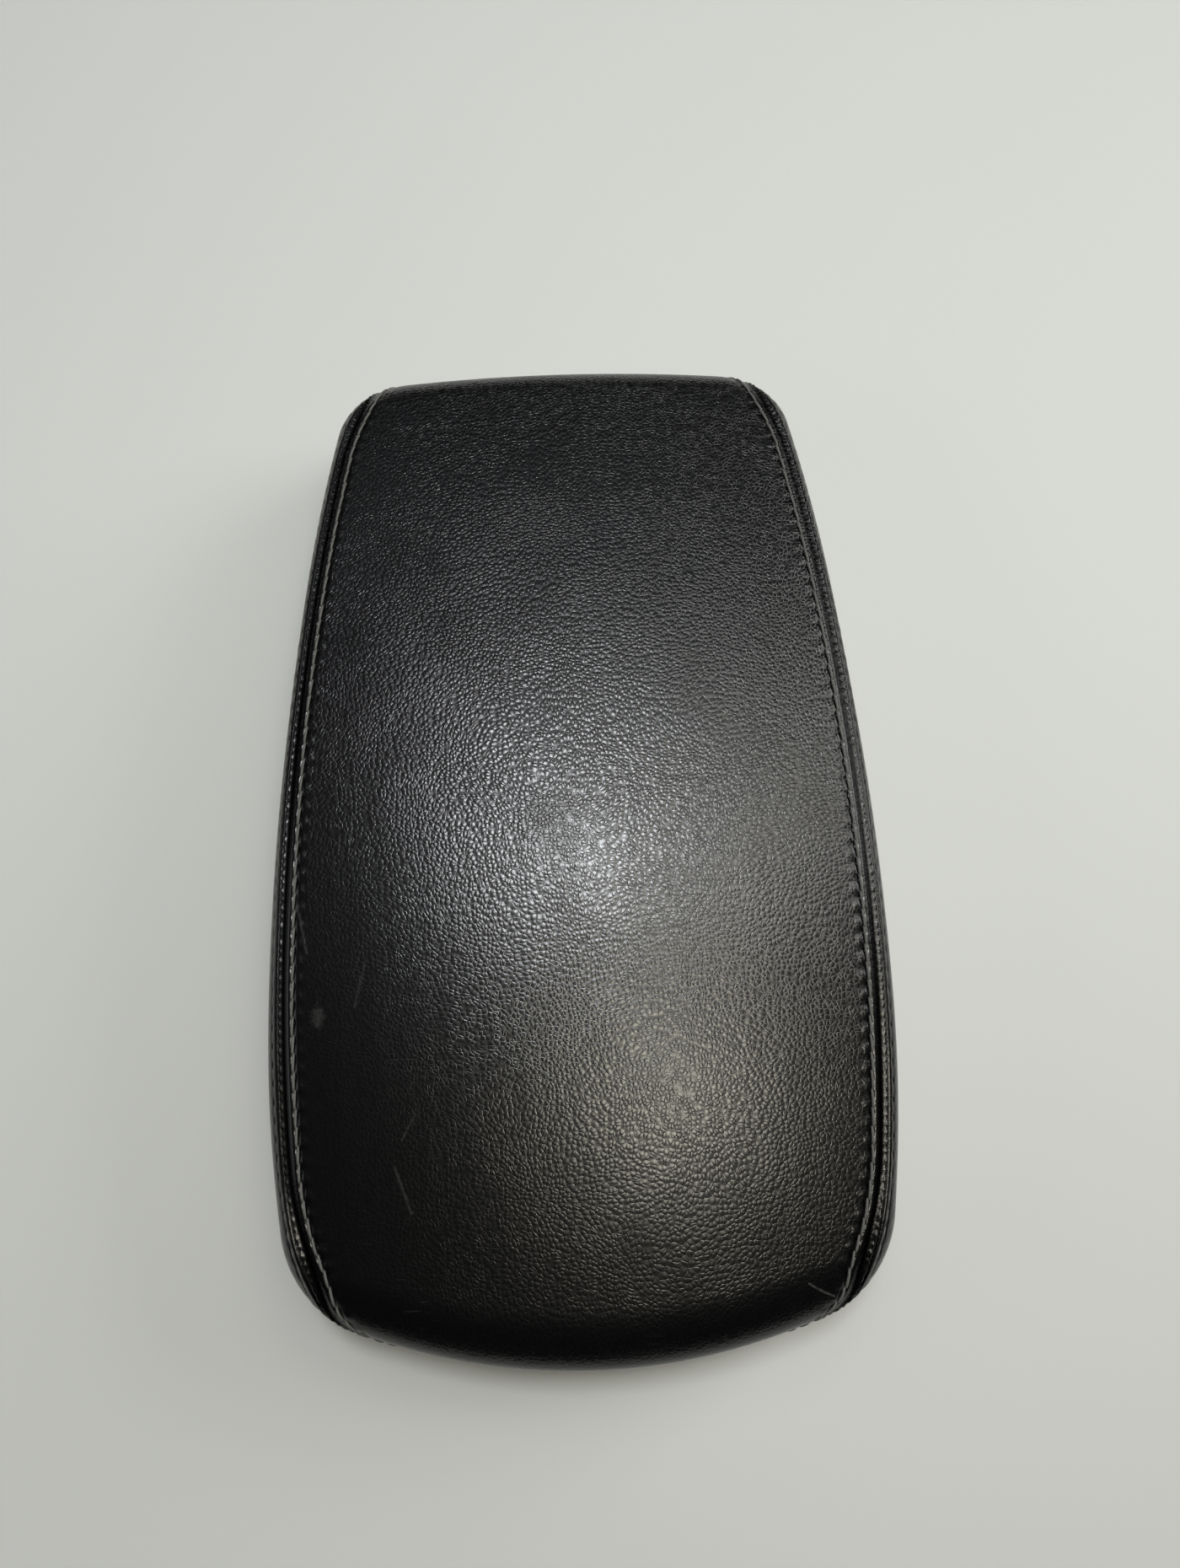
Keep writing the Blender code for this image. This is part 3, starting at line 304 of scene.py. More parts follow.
@dataclass
class Seam:
    """Right seam as a line on the unrolled face, with the relief that it presses into the leather."""

    surface: PadSurface
    form: SeamForm
    outer_shift: float = 1.3
    places: np.ndarray = field(init=False)
    depths: np.ndarray = field(init=False)
    run: np.ndarray = field(init=False)

    def __post_init__(self) -> None:
        """Carry the seam's plan course on to the face, and on down to the lower edge."""
        plan = self._plan_course()
        place, inset = self._foot_of(plan)
        point, normal = self.surface.outline(place)
        radius = self.surface.shoulder(normal)
        reach = self.surface.reach_and_drop(normal)[0]
        limit = reach * (1.0 - math.cos(math.radians(24.0)))
        inside = np.nonzero(inset > limit)[0]
        keep = slice(inside[0], inside[-1] + 1)
        place, inset, radius, reach = place[keep], inset[keep], radius[keep], reach[keep]
        depth = radius * (math.pi / 2.0 - np.arccos(1.0 - inset / reach))
        place, depth = self._extend(place, depth)
        fine = np.arange(place[0], place[-1], 0.25 * MM)
        self.places = fine
        self.depths = np.interp(fine, place, depth)
        line = self.surface.position(self.places, self.depths)
        steps = np.linalg.norm(np.diff(line, axis=0), axis=1)
        self.run = np.concatenate([[0.0], np.cumsum(steps)])

    def _plan_course(self) -> np.ndarray:
        """Return the seam's plan points from beyond the front corner to beyond the rear corner."""
        pad, form = self.surface.form, self.form
        halves = []
        ends = ((form.front_turn, form.front_radius, -1.0), (form.rear_turn, form.rear_radius, 1.0))
        for turn, radius, way in ends:
            side, side_radius = pad.side_arc(turn)
            reach = side_radius - form.inset
            start = math.asin((turn - pad.widest_y) / reach)
            centre = side + np.array([math.cos(start), math.sin(start)]) * (reach - radius)
            bend = start + way * np.linspace(0.0, math.radians(75.0), 400)
            run = np.linspace(0.0, start, 600, endpoint=False)
            half = [side + np.stack([np.cos(run), np.sin(run)], axis=1) * reach]
            half.append(centre + np.stack([np.cos(bend), np.sin(bend)], axis=1) * radius)
            halves.append(np.concatenate(half))
        return np.concatenate([halves[0][:0:-1], halves[1]])

    def _foot_of(self, plan: np.ndarray) -> tuple[np.ndarray, np.ndarray]:
        """Return the nearest place on the outline and the inset from it, for plan points."""
        coarse = slice(None, None, 4)
        points, girth = self.surface.points[coarse], self.surface.girth[coarse]
        normals = self.surface.normals[coarse]
        places, insets = [], []
        for chunk in np.array_split(plan, 20):
            gap = chunk[:, None, :] - points[None, :, :]
            nearest = np.argmin((gap**2).sum(axis=2), axis=1)
            reach = chunk - points[nearest]
            normal = normals[nearest]
            tangent = np.stack([-normal[:, 1], normal[:, 0]], axis=1)
            places.append(girth[nearest] + (reach * tangent).sum(axis=1))
            insets.append(-(reach * normal).sum(axis=1))
        return np.concatenate(places), np.concatenate(insets)

    def _extend(self, place: np.ndarray, depth: np.ndarray) -> tuple[np.ndarray, np.ndarray]:
        """Run both ends of the line on, at the slope they have, to the lower edge."""
        for end in (0, -1):
            other = 8 if end == 0 else -9
            slope = (depth[end] - depth[other]) / (place[end] - place[other])
            way = -1.0 if end == 0 else 1.0
            reach = np.arange(1, 400) * 0.25 * MM * way
            more_place = place[end] + reach
            more_depth = depth[end] + slope * reach
            inside = more_depth < self.surface.bottom(more_place) + 1.0 * MM
            more_place, more_depth = more_place[inside], more_depth[inside]
            if end == 0:
                place = np.concatenate([more_place[::-1], place])
                depth = np.concatenate([more_depth[::-1], depth])
            else:
                place = np.concatenate([place, more_place])
                depth = np.concatenate([depth, more_depth])
        return place, depth

    def depth_at(self, place: np.ndarray) -> np.ndarray:
        """Return the seam's depth at places, or a depth past the lower edge beyond its ends."""
        depth = np.interp(place, self.places, self.depths)
        outside = (place < self.places[0]) | (place > self.places[-1])
        return np.where(outside, 1.0, depth)

    def measure(self, place: np.ndarray, depth: np.ndarray) -> tuple[np.ndarray, np.ndarray]:
        """Return the signed distance to the seam and the run along it, for face coordinates."""
        step = 0.25 * MM
        index = np.clip(((place - self.places[0]) / step).astype(int), 0, len(self.places) - 1)
        best = np.full(place.shape, 1.0)
        run = np.zeros(place.shape)
        for shift in range(-56, 57, 2):
            spot = np.clip(index + shift, 0, len(self.places) - 1)
            gap = np.hypot(self.places[spot] - place, self.depths[spot] - depth)
            closer = gap < best
            best = np.where(closer, gap, best)
            run = np.where(closer, self.run[spot], run)
        sign = np.sign(depth - self.depth_at(place))
        return best * sign, run

    def relief(self, distance: np.ndarray, run: np.ndarray) -> np.ndarray:
        """Return the height that the seam adds to the leather.

        Args:
            distance: Signed distance from the join.
            run: Distance along the seam.

        Returns:
            Height along the face's normal.
        """
        form = self.form
        bell = partial(seam_bell, distance)
        phase = 2.0 * math.pi * run / form.pitch
        pull = 0.5 + 0.5 * np.cos(phase)
        outer_pull = 0.5 + 0.5 * np.cos(phase + self.outer_shift)
        ticks = np.cos(2.0 * math.pi * run / form.tick_pitch + 0.6 * np.sin(phase))
        inner, outer = -form.inner_row / MM, form.outer_row / MM
        height = form.ridge * bell(*form.ridge_bell) * (1.0 + form.tick_share * ticks)
        height += form.fold_share * form.ridge * bell(*form.fold_bell)
        height -= form.groove * np.exp(-((distance / form.groove_width) ** 2))
        height -= form.valley * bell(*form.valley_bell)
        height -= form.row_dip * bell(inner, 0.85) * (0.75 + 0.25 * pull)
        height -= form.hole * bell(inner - 0.25, 0.42) * pull**6
        height -= 0.5 * form.row_dip * bell(outer, 0.55) * (0.6 + 0.4 * outer_pull)
        height -= 0.9 * form.hole * bell(outer, 0.50) * outer_pull**5
        height -= form.pucker * bell(inner - 1.7, 1.1) * np.cos(phase)
        height += form.pucker * bell(outer + 1.6, 1.2) * np.cos(phase + self.outer_shift + math.pi)
        return height

    def shade(self, distance: np.ndarray, run: np.ndarray) -> np.ndarray:
        """Return the painted shade of the seam's unlit gaps and needle holes, from 0 to 1.

        Args:
            distance: Signed distance from the join.
            run: Distance along the seam.

        Returns:
            The share of light that the painted shade takes away from the gap.
        """
        form = self.form
        bell = partial(seam_bell, distance)
        pull = 0.5 + 0.5 * np.cos(2.0 * math.pi * run / form.pitch)
        gap = bell(*form.gap_bell) + 0.9 * bell(*form.join_bell)
        beside = 0.75 * bell(-form.inner_row / MM - 0.95, 0.5) * (0.35 + 0.65 * pull**3)
        dots = 0.8 * bell(form.outer_row / MM, 0.5) * pull**3
        return np.clip(gap + beside + dots, 0.0, 1.0)


def mesh_object(
    name: str, vertices: np.ndarray, faces: list[tuple[int, ...]], flat: np.ndarray | None = None
) -> bpy.types.Object:
    """Make a smooth mesh object from points and faces.

    Args:
        name: Name of the object and its mesh.
        vertices: Points, one row each.
        faces: Vertex numbers of each face.
        flat: For each point of the leather, its place on the flat hide and how much painted seam shade it
            gets.

    Returns:
        The new object, linked to the scene.
    """
    mesh = bpy.data.meshes.new(name)
    mesh.from_pydata(vertices.tolist(), [], faces)
    if flat is not None:
        layer = mesh.attributes.new("hide_place", "FLOAT_VECTOR", "POINT")
        layer.data.foreach_set("vector", flat[:, :3].astype(np.float32).ravel())
        # Painted shade for the seam's gaps and needle holes.
        layer = mesh.attributes.new("painted_seam_shade", "FLOAT", "POINT")
        layer.data.foreach_set("value", flat[:, 3].astype(np.float32))
    mesh.validate()
    mesh.shade_smooth()
    item = bpy.data.objects.new(name, mesh)
    bpy.context.scene.collection.objects.link(item)
    return item


def grid_faces(rows: int, columns: int, closed: bool, flip: bool = False) -> list[tuple[int, ...]]:
    """List the quads of a grid whose points run row by row.

    Args:
        rows: Number of rows.
        columns: Points in each row.
        closed: Whether each row closes on itself.
        flip: Whether the faces turn the other way.

    Returns:
        Faces as tuples of four vertex numbers.
    """
    faces = []
    last = columns if closed else columns - 1
    for row in range(rows - 1):
        for column in range(last):
            after = (column + 1) % columns
            quad = (
                row * columns + column,
                (row + 1) * columns + column,
                (row + 1) * columns + after,
                row * columns + after,
            )
            faces.append(quad[::-1] if flip else quad)
    return faces


@dataclass
class LeatherCover:
    """Three leather panels with the stitched seams between them."""

    surface: PadSurface
    seam: Seam
    columns: int = 1440
    crown_rings: int = 12
    fine_rings: int = 44
    crown_inset: float = 0.019
    unevenness: float = 0.12 * MM
    front_fill: tuple[float, float, float] = (0.70, -0.085, 0.038)
    rear_lean: tuple[float, float, float] = (0.75, 0.045, 0.045)

    def _mirror_place(self, place: np.ndarray) -> np.ndarray:
        """Return the matching place on the right half for places anywhere round the outline."""
        return np.where(place > self.surface.total / 2.0, self.surface.total - place, place)

    def _dressed(self, place: np.ndarray, depth: np.ndarray) -> np.ndarray:
        """Return points of the face with the seam's relief and soft unevenness on it."""
        right = self._mirror_place(place)
        distance, run = self.seam.measure(right, depth)
        point = self.surface.position(place, depth)
        height = self.seam.relief(distance, run)
        waves = np.sin(point[..., 1] / 0.031 + 1.3)
        height = height + self.unevenness * waves * np.sin(point[..., 0] / 0.023)
        normal = self.surface.normal(place, depth)
        return point + normal * (height + self._swell(point, normal))[..., None]

    def _swell(self, point: np.ndarray, normal: np.ndarray) -> np.ndarray:
        """Return how far the padding fills the sides more near the front than behind."""
        full, lean = (
            height * np.exp(-(((point[..., 1] - middle) / reach) ** 2))
            for height, middle, reach in (self.front_fill, self.rear_lean)
        )
        return (full - lean) * MM * np.abs(normal[..., 0]) ** 1.5

    def _hide_place(self, place: np.ndarray, depth: np.ndarray) -> np.ndarray:
        """Return where points of the face lie on the flat hide, and how much painted seam shade they get."""
        distance, run = self.seam.measure(self._mirror_place(place), depth)
        point, normal = self.surface.outline(place)
        inset = self.surface.reach_and_drop(normal)[0] - depth
        flat = np.zeros(len(place))
        return np.column_stack([point - normal * inset[:, None], flat, self.seam.shade(distance, run)])

    def _shares(self, count: int, power: float) -> np.ndarray:
        """Return steps from 0 to 1 that crowd toward 1."""
        return 1.0 - (1.0 - np.linspace(0.0, 1.0, count)) ** power

    def centre_panel(self) -> bpy.types.Object:
        """Build the centre panel, which wraps over both ends."""
        place = np.linspace(0.0, self.surface.total, self.columns, endpoint=False)
        right = self._mirror_place(place)
        _, normal = self.surface.outline(place)
        start = self.surface.reach_and_drop(normal)[0] - self.crown_inset
        bottom = self.surface.bottom(place)
        seam_depth = self.seam.depth_at(right)
        end = np.minimum(seam_depth, bottom)
        rings, flat = [], []
        edge = self._dressed(place, start)
        for share in np.linspace(0.0, 1.0, self.crown_rings, endpoint=False)[1:]:
            plan = edge[:, :2] * share
            flat.append(np.column_stack([plan, np.zeros((len(plan), 2))]))
            base = edge[:, :2]
            lift = (edge[:, 2] - self.surface.form.crown(base)) * share
            rings.append(np.column_stack([plan, self.surface.form.crown(plan) + lift]))
        for share in self._shares(self.fine_rings, 1.35):
            rings.append(self._dressed(place, start + (end - start) * share))
            flat.append(self._hide_place(place, start + (end - start) * share))
        rings += self._lips(place, end, seam_depth < bottom)
        flat += [self._hide_place(place, end + reach * MM) for reach in (1.0, 2.0, 4.0)]
        points = np.concatenate([[[0.0, 0.0, self.surface.form.crown_top]], *rings])
        count = self.columns
        faces = [(0, 1 + column, 1 + (column + 1) % count) for column in range(count)]
        for face in grid_faces(len(rings), count, closed=True):
            faces.append(tuple(corner + 1 for corner in face))
        return mesh_object("leather_centre", points, faces, np.concatenate([np.zeros((1, 4)), *flat]))

    def _lips(self, place: np.ndarray, end: np.ndarray, at_seam: np.ndarray) -> list[np.ndarray]:
        """Return the rings past a panel's edge: down into the join, or round under the hem."""
        edge = self._dressed(place, end)
        inward = -self.surface.normal(place, np.minimum(end, self.surface.bottom(place) - 1.0 * MM))
        point, normal = self.surface.outline(place)
        rings = []
        under = ((1.2, 0.55), (2.6, 0.85), (self.surface.form.hem / MM, 0.9))
        for step, (reach, drop) in enumerate(under):
            sunk = edge + inward * (0.8 * MM * (step + 1))
            fold = edge.copy()
            fold[:, :2] -= normal * (reach * MM)
            fold[:, 2] -= drop * 0.15 * MM
            rings.append(np.where(at_seam[:, None], sunk, fold))
        return rings

    def side_panel(self, side: Side) -> bpy.types.Object:
        """Build one side panel, from the seam down to the hem."""
        places = self.seam.places
        bottom = self.surface.bottom(places)
        live = places[self.seam.depths < bottom - 0.2 * MM]
        count = int((live[-1] - live[0]) / (0.62 * MM))
        place = np.linspace(live[0], live[-1], count)
        start = self.seam.depth_at(place)
        end = self.surface.bottom(place)
        inner = self._dressed(place, start)
        inward = -self.surface.normal(place, start)
        rings = [inner + inward * 1.6 * MM, inner + inward * 0.8 * MM]
        flat = [self._hide_place(place, start - reach * MM) for reach in (1.6, 0.8)]
        for share in 1.0 - self._shares(self.fine_rings, 1.35)[::-1]:
            rings.append(self._dressed(place, start + (end - start) * share))
            flat.append(self._hide_place(place, start + (end - start) * share))
        rings += self._lips(place, end, np.zeros(count, bool))
        flat += [self._hide_place(place, end + reach * MM) for reach in (1.0, 2.0, 4.0)]
        points, hide = np.concatenate(rings), np.concatenate(flat)
        if side is Side.LEFT:
            points, hide = points * np.array([-1.0, 1.0, 1.0]), hide * np.array([-1.0, 1.0, 1.0, 1.0])
        faces = grid_faces(len(rings), count, closed=False, flip=side is Side.LEFT)
        return mesh_object(f"leather_side_{side.name.lower()}", points, faces, hide)

    def stitches(self, side: Side, row: Row, seed: int) -> bpy.types.Object:
        """Build one row of topstitching as separate slanted threads.

        Args:
            side: The seam the row belongs to.
            row: Which of its two rows.
            seed: Start value for the small differences between stitches.

        Returns:
            One object that holds all the row's stitches.
        """
        rng = np.random.default_rng(seed)
        form = self.seam.form
        run = self.seam.run
        starts = np.arange(1.5 * MM, run[-1] - form.pitch, form.pitch)
        inner = row is Row.INNER
        shift = 0.0 if inner else -self.seam.outer_shift / (2.0 * math.pi) * form.pitch
        reach = -form.inner_row if inner else form.outer_row
        thick = form.thread if inner else 0.62 * form.thread
        vertices, faces = [], []
        sides, rings = 8, 9
        for start in starts + shift:
            along = start + np.linspace(-0.04, 1.04, rings) * form.pitch
            slant = np.linspace(-0.20, 0.20, rings) * MM + rng.normal(0.0, 0.06) * MM
            offset = reach + slant * row.value
            spots = self._at_seam(along, offset)
            if spots is None:
                continue
            place, depth, tangent = spots
            face = self.surface.position(place, depth)
            normal = self.surface.normal(place, depth)
            share = np.linspace(-1.0, 1.0, rings)
            bed = -0.55 * form.row_dip if inner else -0.5 * form.row_dip
            lift = bed + (0.62 * thick) * (1.0 - 1.9 * np.abs(share) ** 3.0)
            centre = face + normal * lift[:, None]
            heading = np.gradient(centre, axis=0)
            heading /= np.linalg.norm(heading, axis=1, keepdims=True)
            across = np.cross(heading, normal)
            up = np.cross(across, heading)
            width = thick * (1.0 - 0.25 * np.abs(share) ** 3) * rng.uniform(0.94, 1.06)
            first = len(vertices)
            for ring in range(rings):
                for corner in range(sides):
                    angle = 2.0 * math.pi * corner / sides
                    out = across[ring] * math.cos(angle) + up[ring] * math.sin(angle)
                    vertices.append(centre[ring] + out * width[ring])
            for ring in range(rings - 1):
                for corner in range(sides):
                    after = (corner + 1) % sides
                    low, high = first + ring * sides, first + (ring + 1) * sides
                    faces.append((low + corner, low + after, high + after, high + corner))
            faces.append(tuple(first + corner for corner in reversed(range(sides))))
            faces.append(tuple(first + (rings - 1) * sides + corner for corner in range(sides)))
        points = np.array(vertices)
        if side is Side.LEFT:
            points = points * np.array([-1.0, 1.0, 1.0])
            faces = [face[::-1] for face in faces]
        name = f"stitches_{side.name.lower()}_{row.name.lower()}"
        return mesh_object(name, points, faces)

    def _at_seam(
        self, along: np.ndarray, offset: np.ndarray
    ) -> tuple[np.ndarray, np.ndarray, np.ndarray] | None:
        """Return face coordinates at a run along the seam and an offset across it."""
        seam = self.seam
        place = np.interp(along, seam.run, seam.places)
        depth = np.interp(along, seam.run, seam.depths)
        ahead = np.interp(place + 0.5 * MM, seam.places, seam.depths)
        behind = np.interp(place - 0.5 * MM, seam.places, seam.depths)
        slope = (ahead - behind) / (1.0 * MM)
        length = np.hypot(1.0, slope)
        place = place - slope / length * offset
        depth = depth + offset / length
        if np.any(depth > self.surface.bottom(place) - 0.3 * MM):
            return None
        return place, depth, slope


class Tree:
    """Thin helper that adds nodes and links to one node tree."""

    def __init__(self, tree: bpy.types.NodeTree) -> None:
        """Keep the tree that the nodes go into."""
        self.tree = tree

    def node(self, kind: str, **settings: object) -> bpy.types.Node:
        """Add a node and set its properties."""
        made = self.tree.nodes.new(kind)
        for key, value in settings.items():
            setattr(made, key, value)
        return made

    def link(self, source: bpy.types.NodeSocket, target: bpy.types.NodeSocket) -> None:
        """Join two sockets."""
        self.tree.links.new(source, target)

    def feed(self, target: bpy.types.NodeSocket, value: object) -> None:
        """Link a socket, or set a constant."""
        if isinstance(value, bpy.types.NodeSocket):
            self.link(value, target)
        else:
            target.default_value = value

    def math(self, operation: str, first: object, second: object = 0.0, third: object = 0.0):
        """Add a Math node and return its value."""
        made = self.node("ShaderNodeMath", operation=operation)
        for socket, value in zip(made.inputs, (first, second, third)):
            self.feed(socket, value)
        return made.outputs[0]

    def place(self) -> bpy.types.NodeSocket:
        """Return the place on the object itself."""
        return self.node("ShaderNodeTexCoord").outputs["Object"]

    def split(self, vector: object) -> bpy.types.Node:
        """Add a node that splits a vector, and return it."""
        made = self.node("ShaderNodeSeparateXYZ")
        self.link(vector, made.inputs[0])
        return made

    def vector(self, operation: str, *values: object) -> bpy.types.Node:
        """Add a Vector Math node and return it."""
        made = self.node("ShaderNodeVectorMath", operation=operation)
        for socket, value in zip(made.inputs, values):
            self.feed(socket, value)
        return made

    def mapping(self, vector: object, scale: tuple[float, ...], turn: float = 0.0) -> bpy.types.NodeSocket:
        """Stretch a vector, turn it about Z and return it."""
        made = self.node("ShaderNodeMapping")
        made.inputs["Rotation"].default_value = (0.0, 0.0, turn)
        made.inputs["Scale"].default_value = scale
        self.link(vector, made.inputs["Vector"])
        return made.outputs[0]

    def noise(self, vector: object, scale: float, detail: float = 3.0, rough: float = 0.5):
        """Add a Noise Texture and return the node."""
        made = self.node("ShaderNodeTexNoise")
        self.feed(made.inputs["Vector"], vector)
        made.inputs["Scale"].default_value = scale
        made.inputs["Detail"].default_value = detail
        made.inputs["Roughness"].default_value = rough
        return made

    def cells(self, vector: object, scale: float, feature: str) -> bpy.types.Node:
        """Add a flat Voronoi Texture and return the node."""
        made = self.node("ShaderNodeTexVoronoi", feature=feature, voronoi_dimensions="2D")
        self.feed(made.inputs["Vector"], vector)
        made.inputs["Scale"].default_value = scale
        return made

    def spread(self, value: object, low: float, high: float, out_low: float = 0.0, out_high: float = 1.0):
        """Map a value from one range to another, clamped and smooth."""
        made = self.node("ShaderNodeMapRange", interpolation_type="SMOOTHSTEP")
        self.feed(made.inputs["Value"], value)
        for name, number in zip(("From Min", "From Max", "To Min", "To Max"), (low, high, out_low, out_high)):
            made.inputs[name].default_value = number
        return made.outputs["Result"]

    def blend(self, share: object, first: object, second: object):
        """Mix two colours by a share."""
        made = self.node("ShaderNodeMix", data_type="RGBA")
        self.feed(made.inputs[0], share)
        self.feed(made.inputs[6], first)
        self.feed(made.inputs[7], second)
        return made.outputs[2]

    def bump(self, height: object, strength: float, distance: float, normal: object = None):
        """Add a Bump node and return its normal."""
        made = self.node("ShaderNodeBump")
        made.inputs["Strength"].default_value = strength
        made.inputs["Distance"].default_value = distance
        self.feed(made.inputs["Height"], height)
        if normal is not None:
            self.feed(made.inputs["Normal"], normal)
        return made.outputs["Normal"]


class Groups:
    """Shader node groups that several finishes share. Each is built once."""

    @staticmethod
    def _new(name: str, inputs: dict[str, float], outputs: tuple[str, ...]):
        """Make an empty group with float inputs and outputs, and a vector input."""
        group = bpy.data.node_groups.new(name, "ShaderNodeTree")
        group.interface.new_socket("Vector", in_out="INPUT", socket_type="NodeSocketVector")
        for key, value in inputs.items():
            socket = group.interface.new_socket(key, in_out="INPUT", socket_type="NodeSocketFloat")
            socket.default_value = value
        for key in outputs:
            group.interface.new_socket(key, in_out="OUTPUT", socket_type="NodeSocketFloat")
        tree = Tree(group)
        return group, tree, tree.node("NodeGroupInput"), tree.node("NodeGroupOutput")

    @staticmethod
    @cache
    def pebble_grain() -> bpy.types.NodeTree:
        """Return the leather's grain: pebbles with creases between them, and finer pores."""
        group, tree, ins, outs = Groups._new("pebble_grain", {"Cell": 640.0}, ("Height", "Crease", "Fine"))
        place = ins.outputs["Vector"]
        for scale, reach in ((30.0, 0.010), (420.0, 0.0009)):
            warp = tree.noise(place, scale, 1.0, 0.5)
            pull = tree.vector("MULTIPLY_ADD", warp.outputs["Color"], (reach, reach, 0.0), place)
            place = pull.outputs[0]
        cells = tree.cells(place, 640.0, "DISTANCE_TO_EDGE")
        tree.link(ins.outputs["Cell"], cells.inputs["Scale"])
        round_cells = tree.cells(place, 640.0, "F1")
        tree.link(ins.outputs["Cell"], round_cells.inputs["Scale"])
        dome = tree.spread(round_cells.outputs["Distance"], 0.0, 0.70, 1.0, 0.0)
        patchy = tree.noise(ins.outputs["Vector"], 330.0, 1.0, 0.5)
        open_share = tree.spread(patchy.outputs["Fac"], 0.30, 0.60, 0.35, 1.0)
        crease = tree.spread(cells.outputs["Distance"], 0.0, 0.16, 1.0, 0.0)
        crease = tree.math("MULTIPLY", crease, open_share)
        pores = tree.noise(ins.outputs["Vector"], 3400.0, 1.0, 0.5)
        height = tree.math("MULTIPLY_ADD", crease, -0.55, dome)
        height = tree.math("MULTIPLY_ADD", pores.outputs["Fac"], 0.05, height)
        tree.link(height, outs.inputs["Height"])
        tree.link(crease, outs.inputs["Crease"])
        tree.link(pores.outputs["Fac"], outs.inputs["Fine"])
        return group

    @staticmethod
    @cache
    def scuffs() -> bpy.types.NodeTree:
        """Return fine scratches that lie in hazy patches."""
        group, tree, ins, outs = Groups._new("scuffs", {"Amount": 0.5}, ("Lines",))
        layers = []
        for turn, scale in ((0.5, 90.0), (2.1, 140.0)):
            streak = tree.noise(tree.mapping(ins.outputs["Vector"], (1.0, 14.0, 1.0), turn), scale, 4.0, 0.55)
            layers.append(tree.spread(streak.outputs["Fac"], 0.64, 0.74))
        lines = tree.math("MAXIMUM", layers[0], layers[1])
        haze = tree.noise(ins.outputs["Vector"], 24.0, 5.0, 0.6)
        cover = tree.spread(haze.outputs["Fac"], 0.46, 0.66)
        lines = tree.math("MULTIPLY", tree.math("MULTIPLY", lines, cover), ins.outputs["Amount"])
        tree.link(lines, outs.inputs["Lines"])
        return group

    @staticmethod
    @cache
    def stroke() -> bpy.types.NodeTree:
        """Return the mask of one straight ragged stroke."""
        inputs = {"X": 0.0, "Y": 0.0, "Turn": 0.0, "Reach": 0.01, "Width": 0.001, "Strength": 0.5}
        group, tree, ins, outs = Groups._new("stroke", inputs, ("Mask",))
        ragged = tree.noise(ins.outputs["Vector"], 700.0, 3.0, 0.6)
        start = tree.node("ShaderNodeCombineXYZ")
        tree.link(ins.outputs["X"], start.inputs["X"])
        tree.link(ins.outputs["Y"], start.inputs["Y"])
        shift = tree.vector("SUBTRACT", ins.outputs["Vector"], start.outputs[0])
        turned = tree.node("ShaderNodeVectorRotate", rotation_type="Z_AXIS")
        tree.link(shift.outputs[0], turned.inputs["Vector"])
        tree.link(ins.outputs["Turn"], turned.inputs["Angle"])
        place = tree.split(turned.outputs[0])
        half = tree.math("MULTIPLY", ins.outputs["Reach"], 0.5)
        past = tree.math("ABSOLUTE", tree.math("SUBTRACT", place.outputs["X"], half))
        past = tree.math("MAXIMUM", tree.math("SUBTRACT", past, half), 0.0)
        flat = tree.math("ABSOLUTE", place.outputs["Y"])
        gap = tree.math("DIVIDE", tree.math("ADD", past, flat), ins.outputs["Width"])
        gap = tree.math("MULTIPLY_ADD", ragged.outputs["Fac"], 1.6, gap)
        mask = tree.math("MULTIPLY", tree.spread(gap, 0.6, 1.6, 1.0, 0.0), ins.outputs["Strength"])
        tree.link(mask, outs.inputs["Mask"])
        return group

    @staticmethod
    @cache
    def moulded() -> bpy.types.NodeTree:
        """Return the fine spark grain of a moulded plastic or a cast rubber face."""
        group, tree, ins, outs = Groups._new("moulded", {"Scale": 2600.0}, ("Height", "Mottle"))
        grain = tree.noise(ins.outputs["Vector"], 2600.0, 4.0, 0.65)
        tree.link(ins.outputs["Scale"], grain.inputs["Scale"])
        mottle = tree.noise(ins.outputs["Vector"], 45.0, 4.0, 0.6)
        tree.link(grain.outputs["Fac"], outs.inputs["Height"])
        tree.link(mottle.outputs["Fac"], outs.inputs["Mottle"])
        return group


def use_group(tree: Tree, group: bpy.types.NodeTree, vector: object, **inputs: float) -> bpy.types.Node:
    """Place a shared group in a material and set its inputs."""
    made = tree.node("ShaderNodeGroup", node_tree=group)
    tree.feed(made.inputs["Vector"], vector)
    for key, value in inputs.items():
        made.inputs[key].default_value = value
    return made


def new_material(name: str) -> tuple[bpy.types.Material, Tree, bpy.types.Node]:
    """Make a material and return it with its tree and its Principled shader."""
    material = bpy.data.materials.new(name)
    material.use_nodes = True
    tree = Tree(material.node_tree)
    return material, tree, material.node_tree.nodes["Principled BSDF"]


@dataclass(frozen=True)
class WearMark:
    """A pale scratch or smudge as a stroke on the hide, in metres."""

    start: tuple[float, float]
    end: tuple[float, float]
    width: float
    strength: float


WEAR_MARKS = (
    WearMark((-0.0735, -0.0575), (-0.0732, -0.0610), 0.0034, 0.26),
    WearMark((-0.0600, -0.0445), (-0.0630, -0.0571), 0.0007, 0.20),
    WearMark((-0.0520, -0.1000), (-0.0475, -0.1121), 0.0008, 0.26),
    WearMark((0.0585, -0.1330), (0.0655, -0.1366), 0.0006, 0.60),
    WearMark((-0.0810, -0.0222), (-0.0768, -0.0415), 0.0008, 0.30),
    WearMark((-0.0460, -0.0860), (-0.0500, -0.0930), 0.0005, 0.25),
)


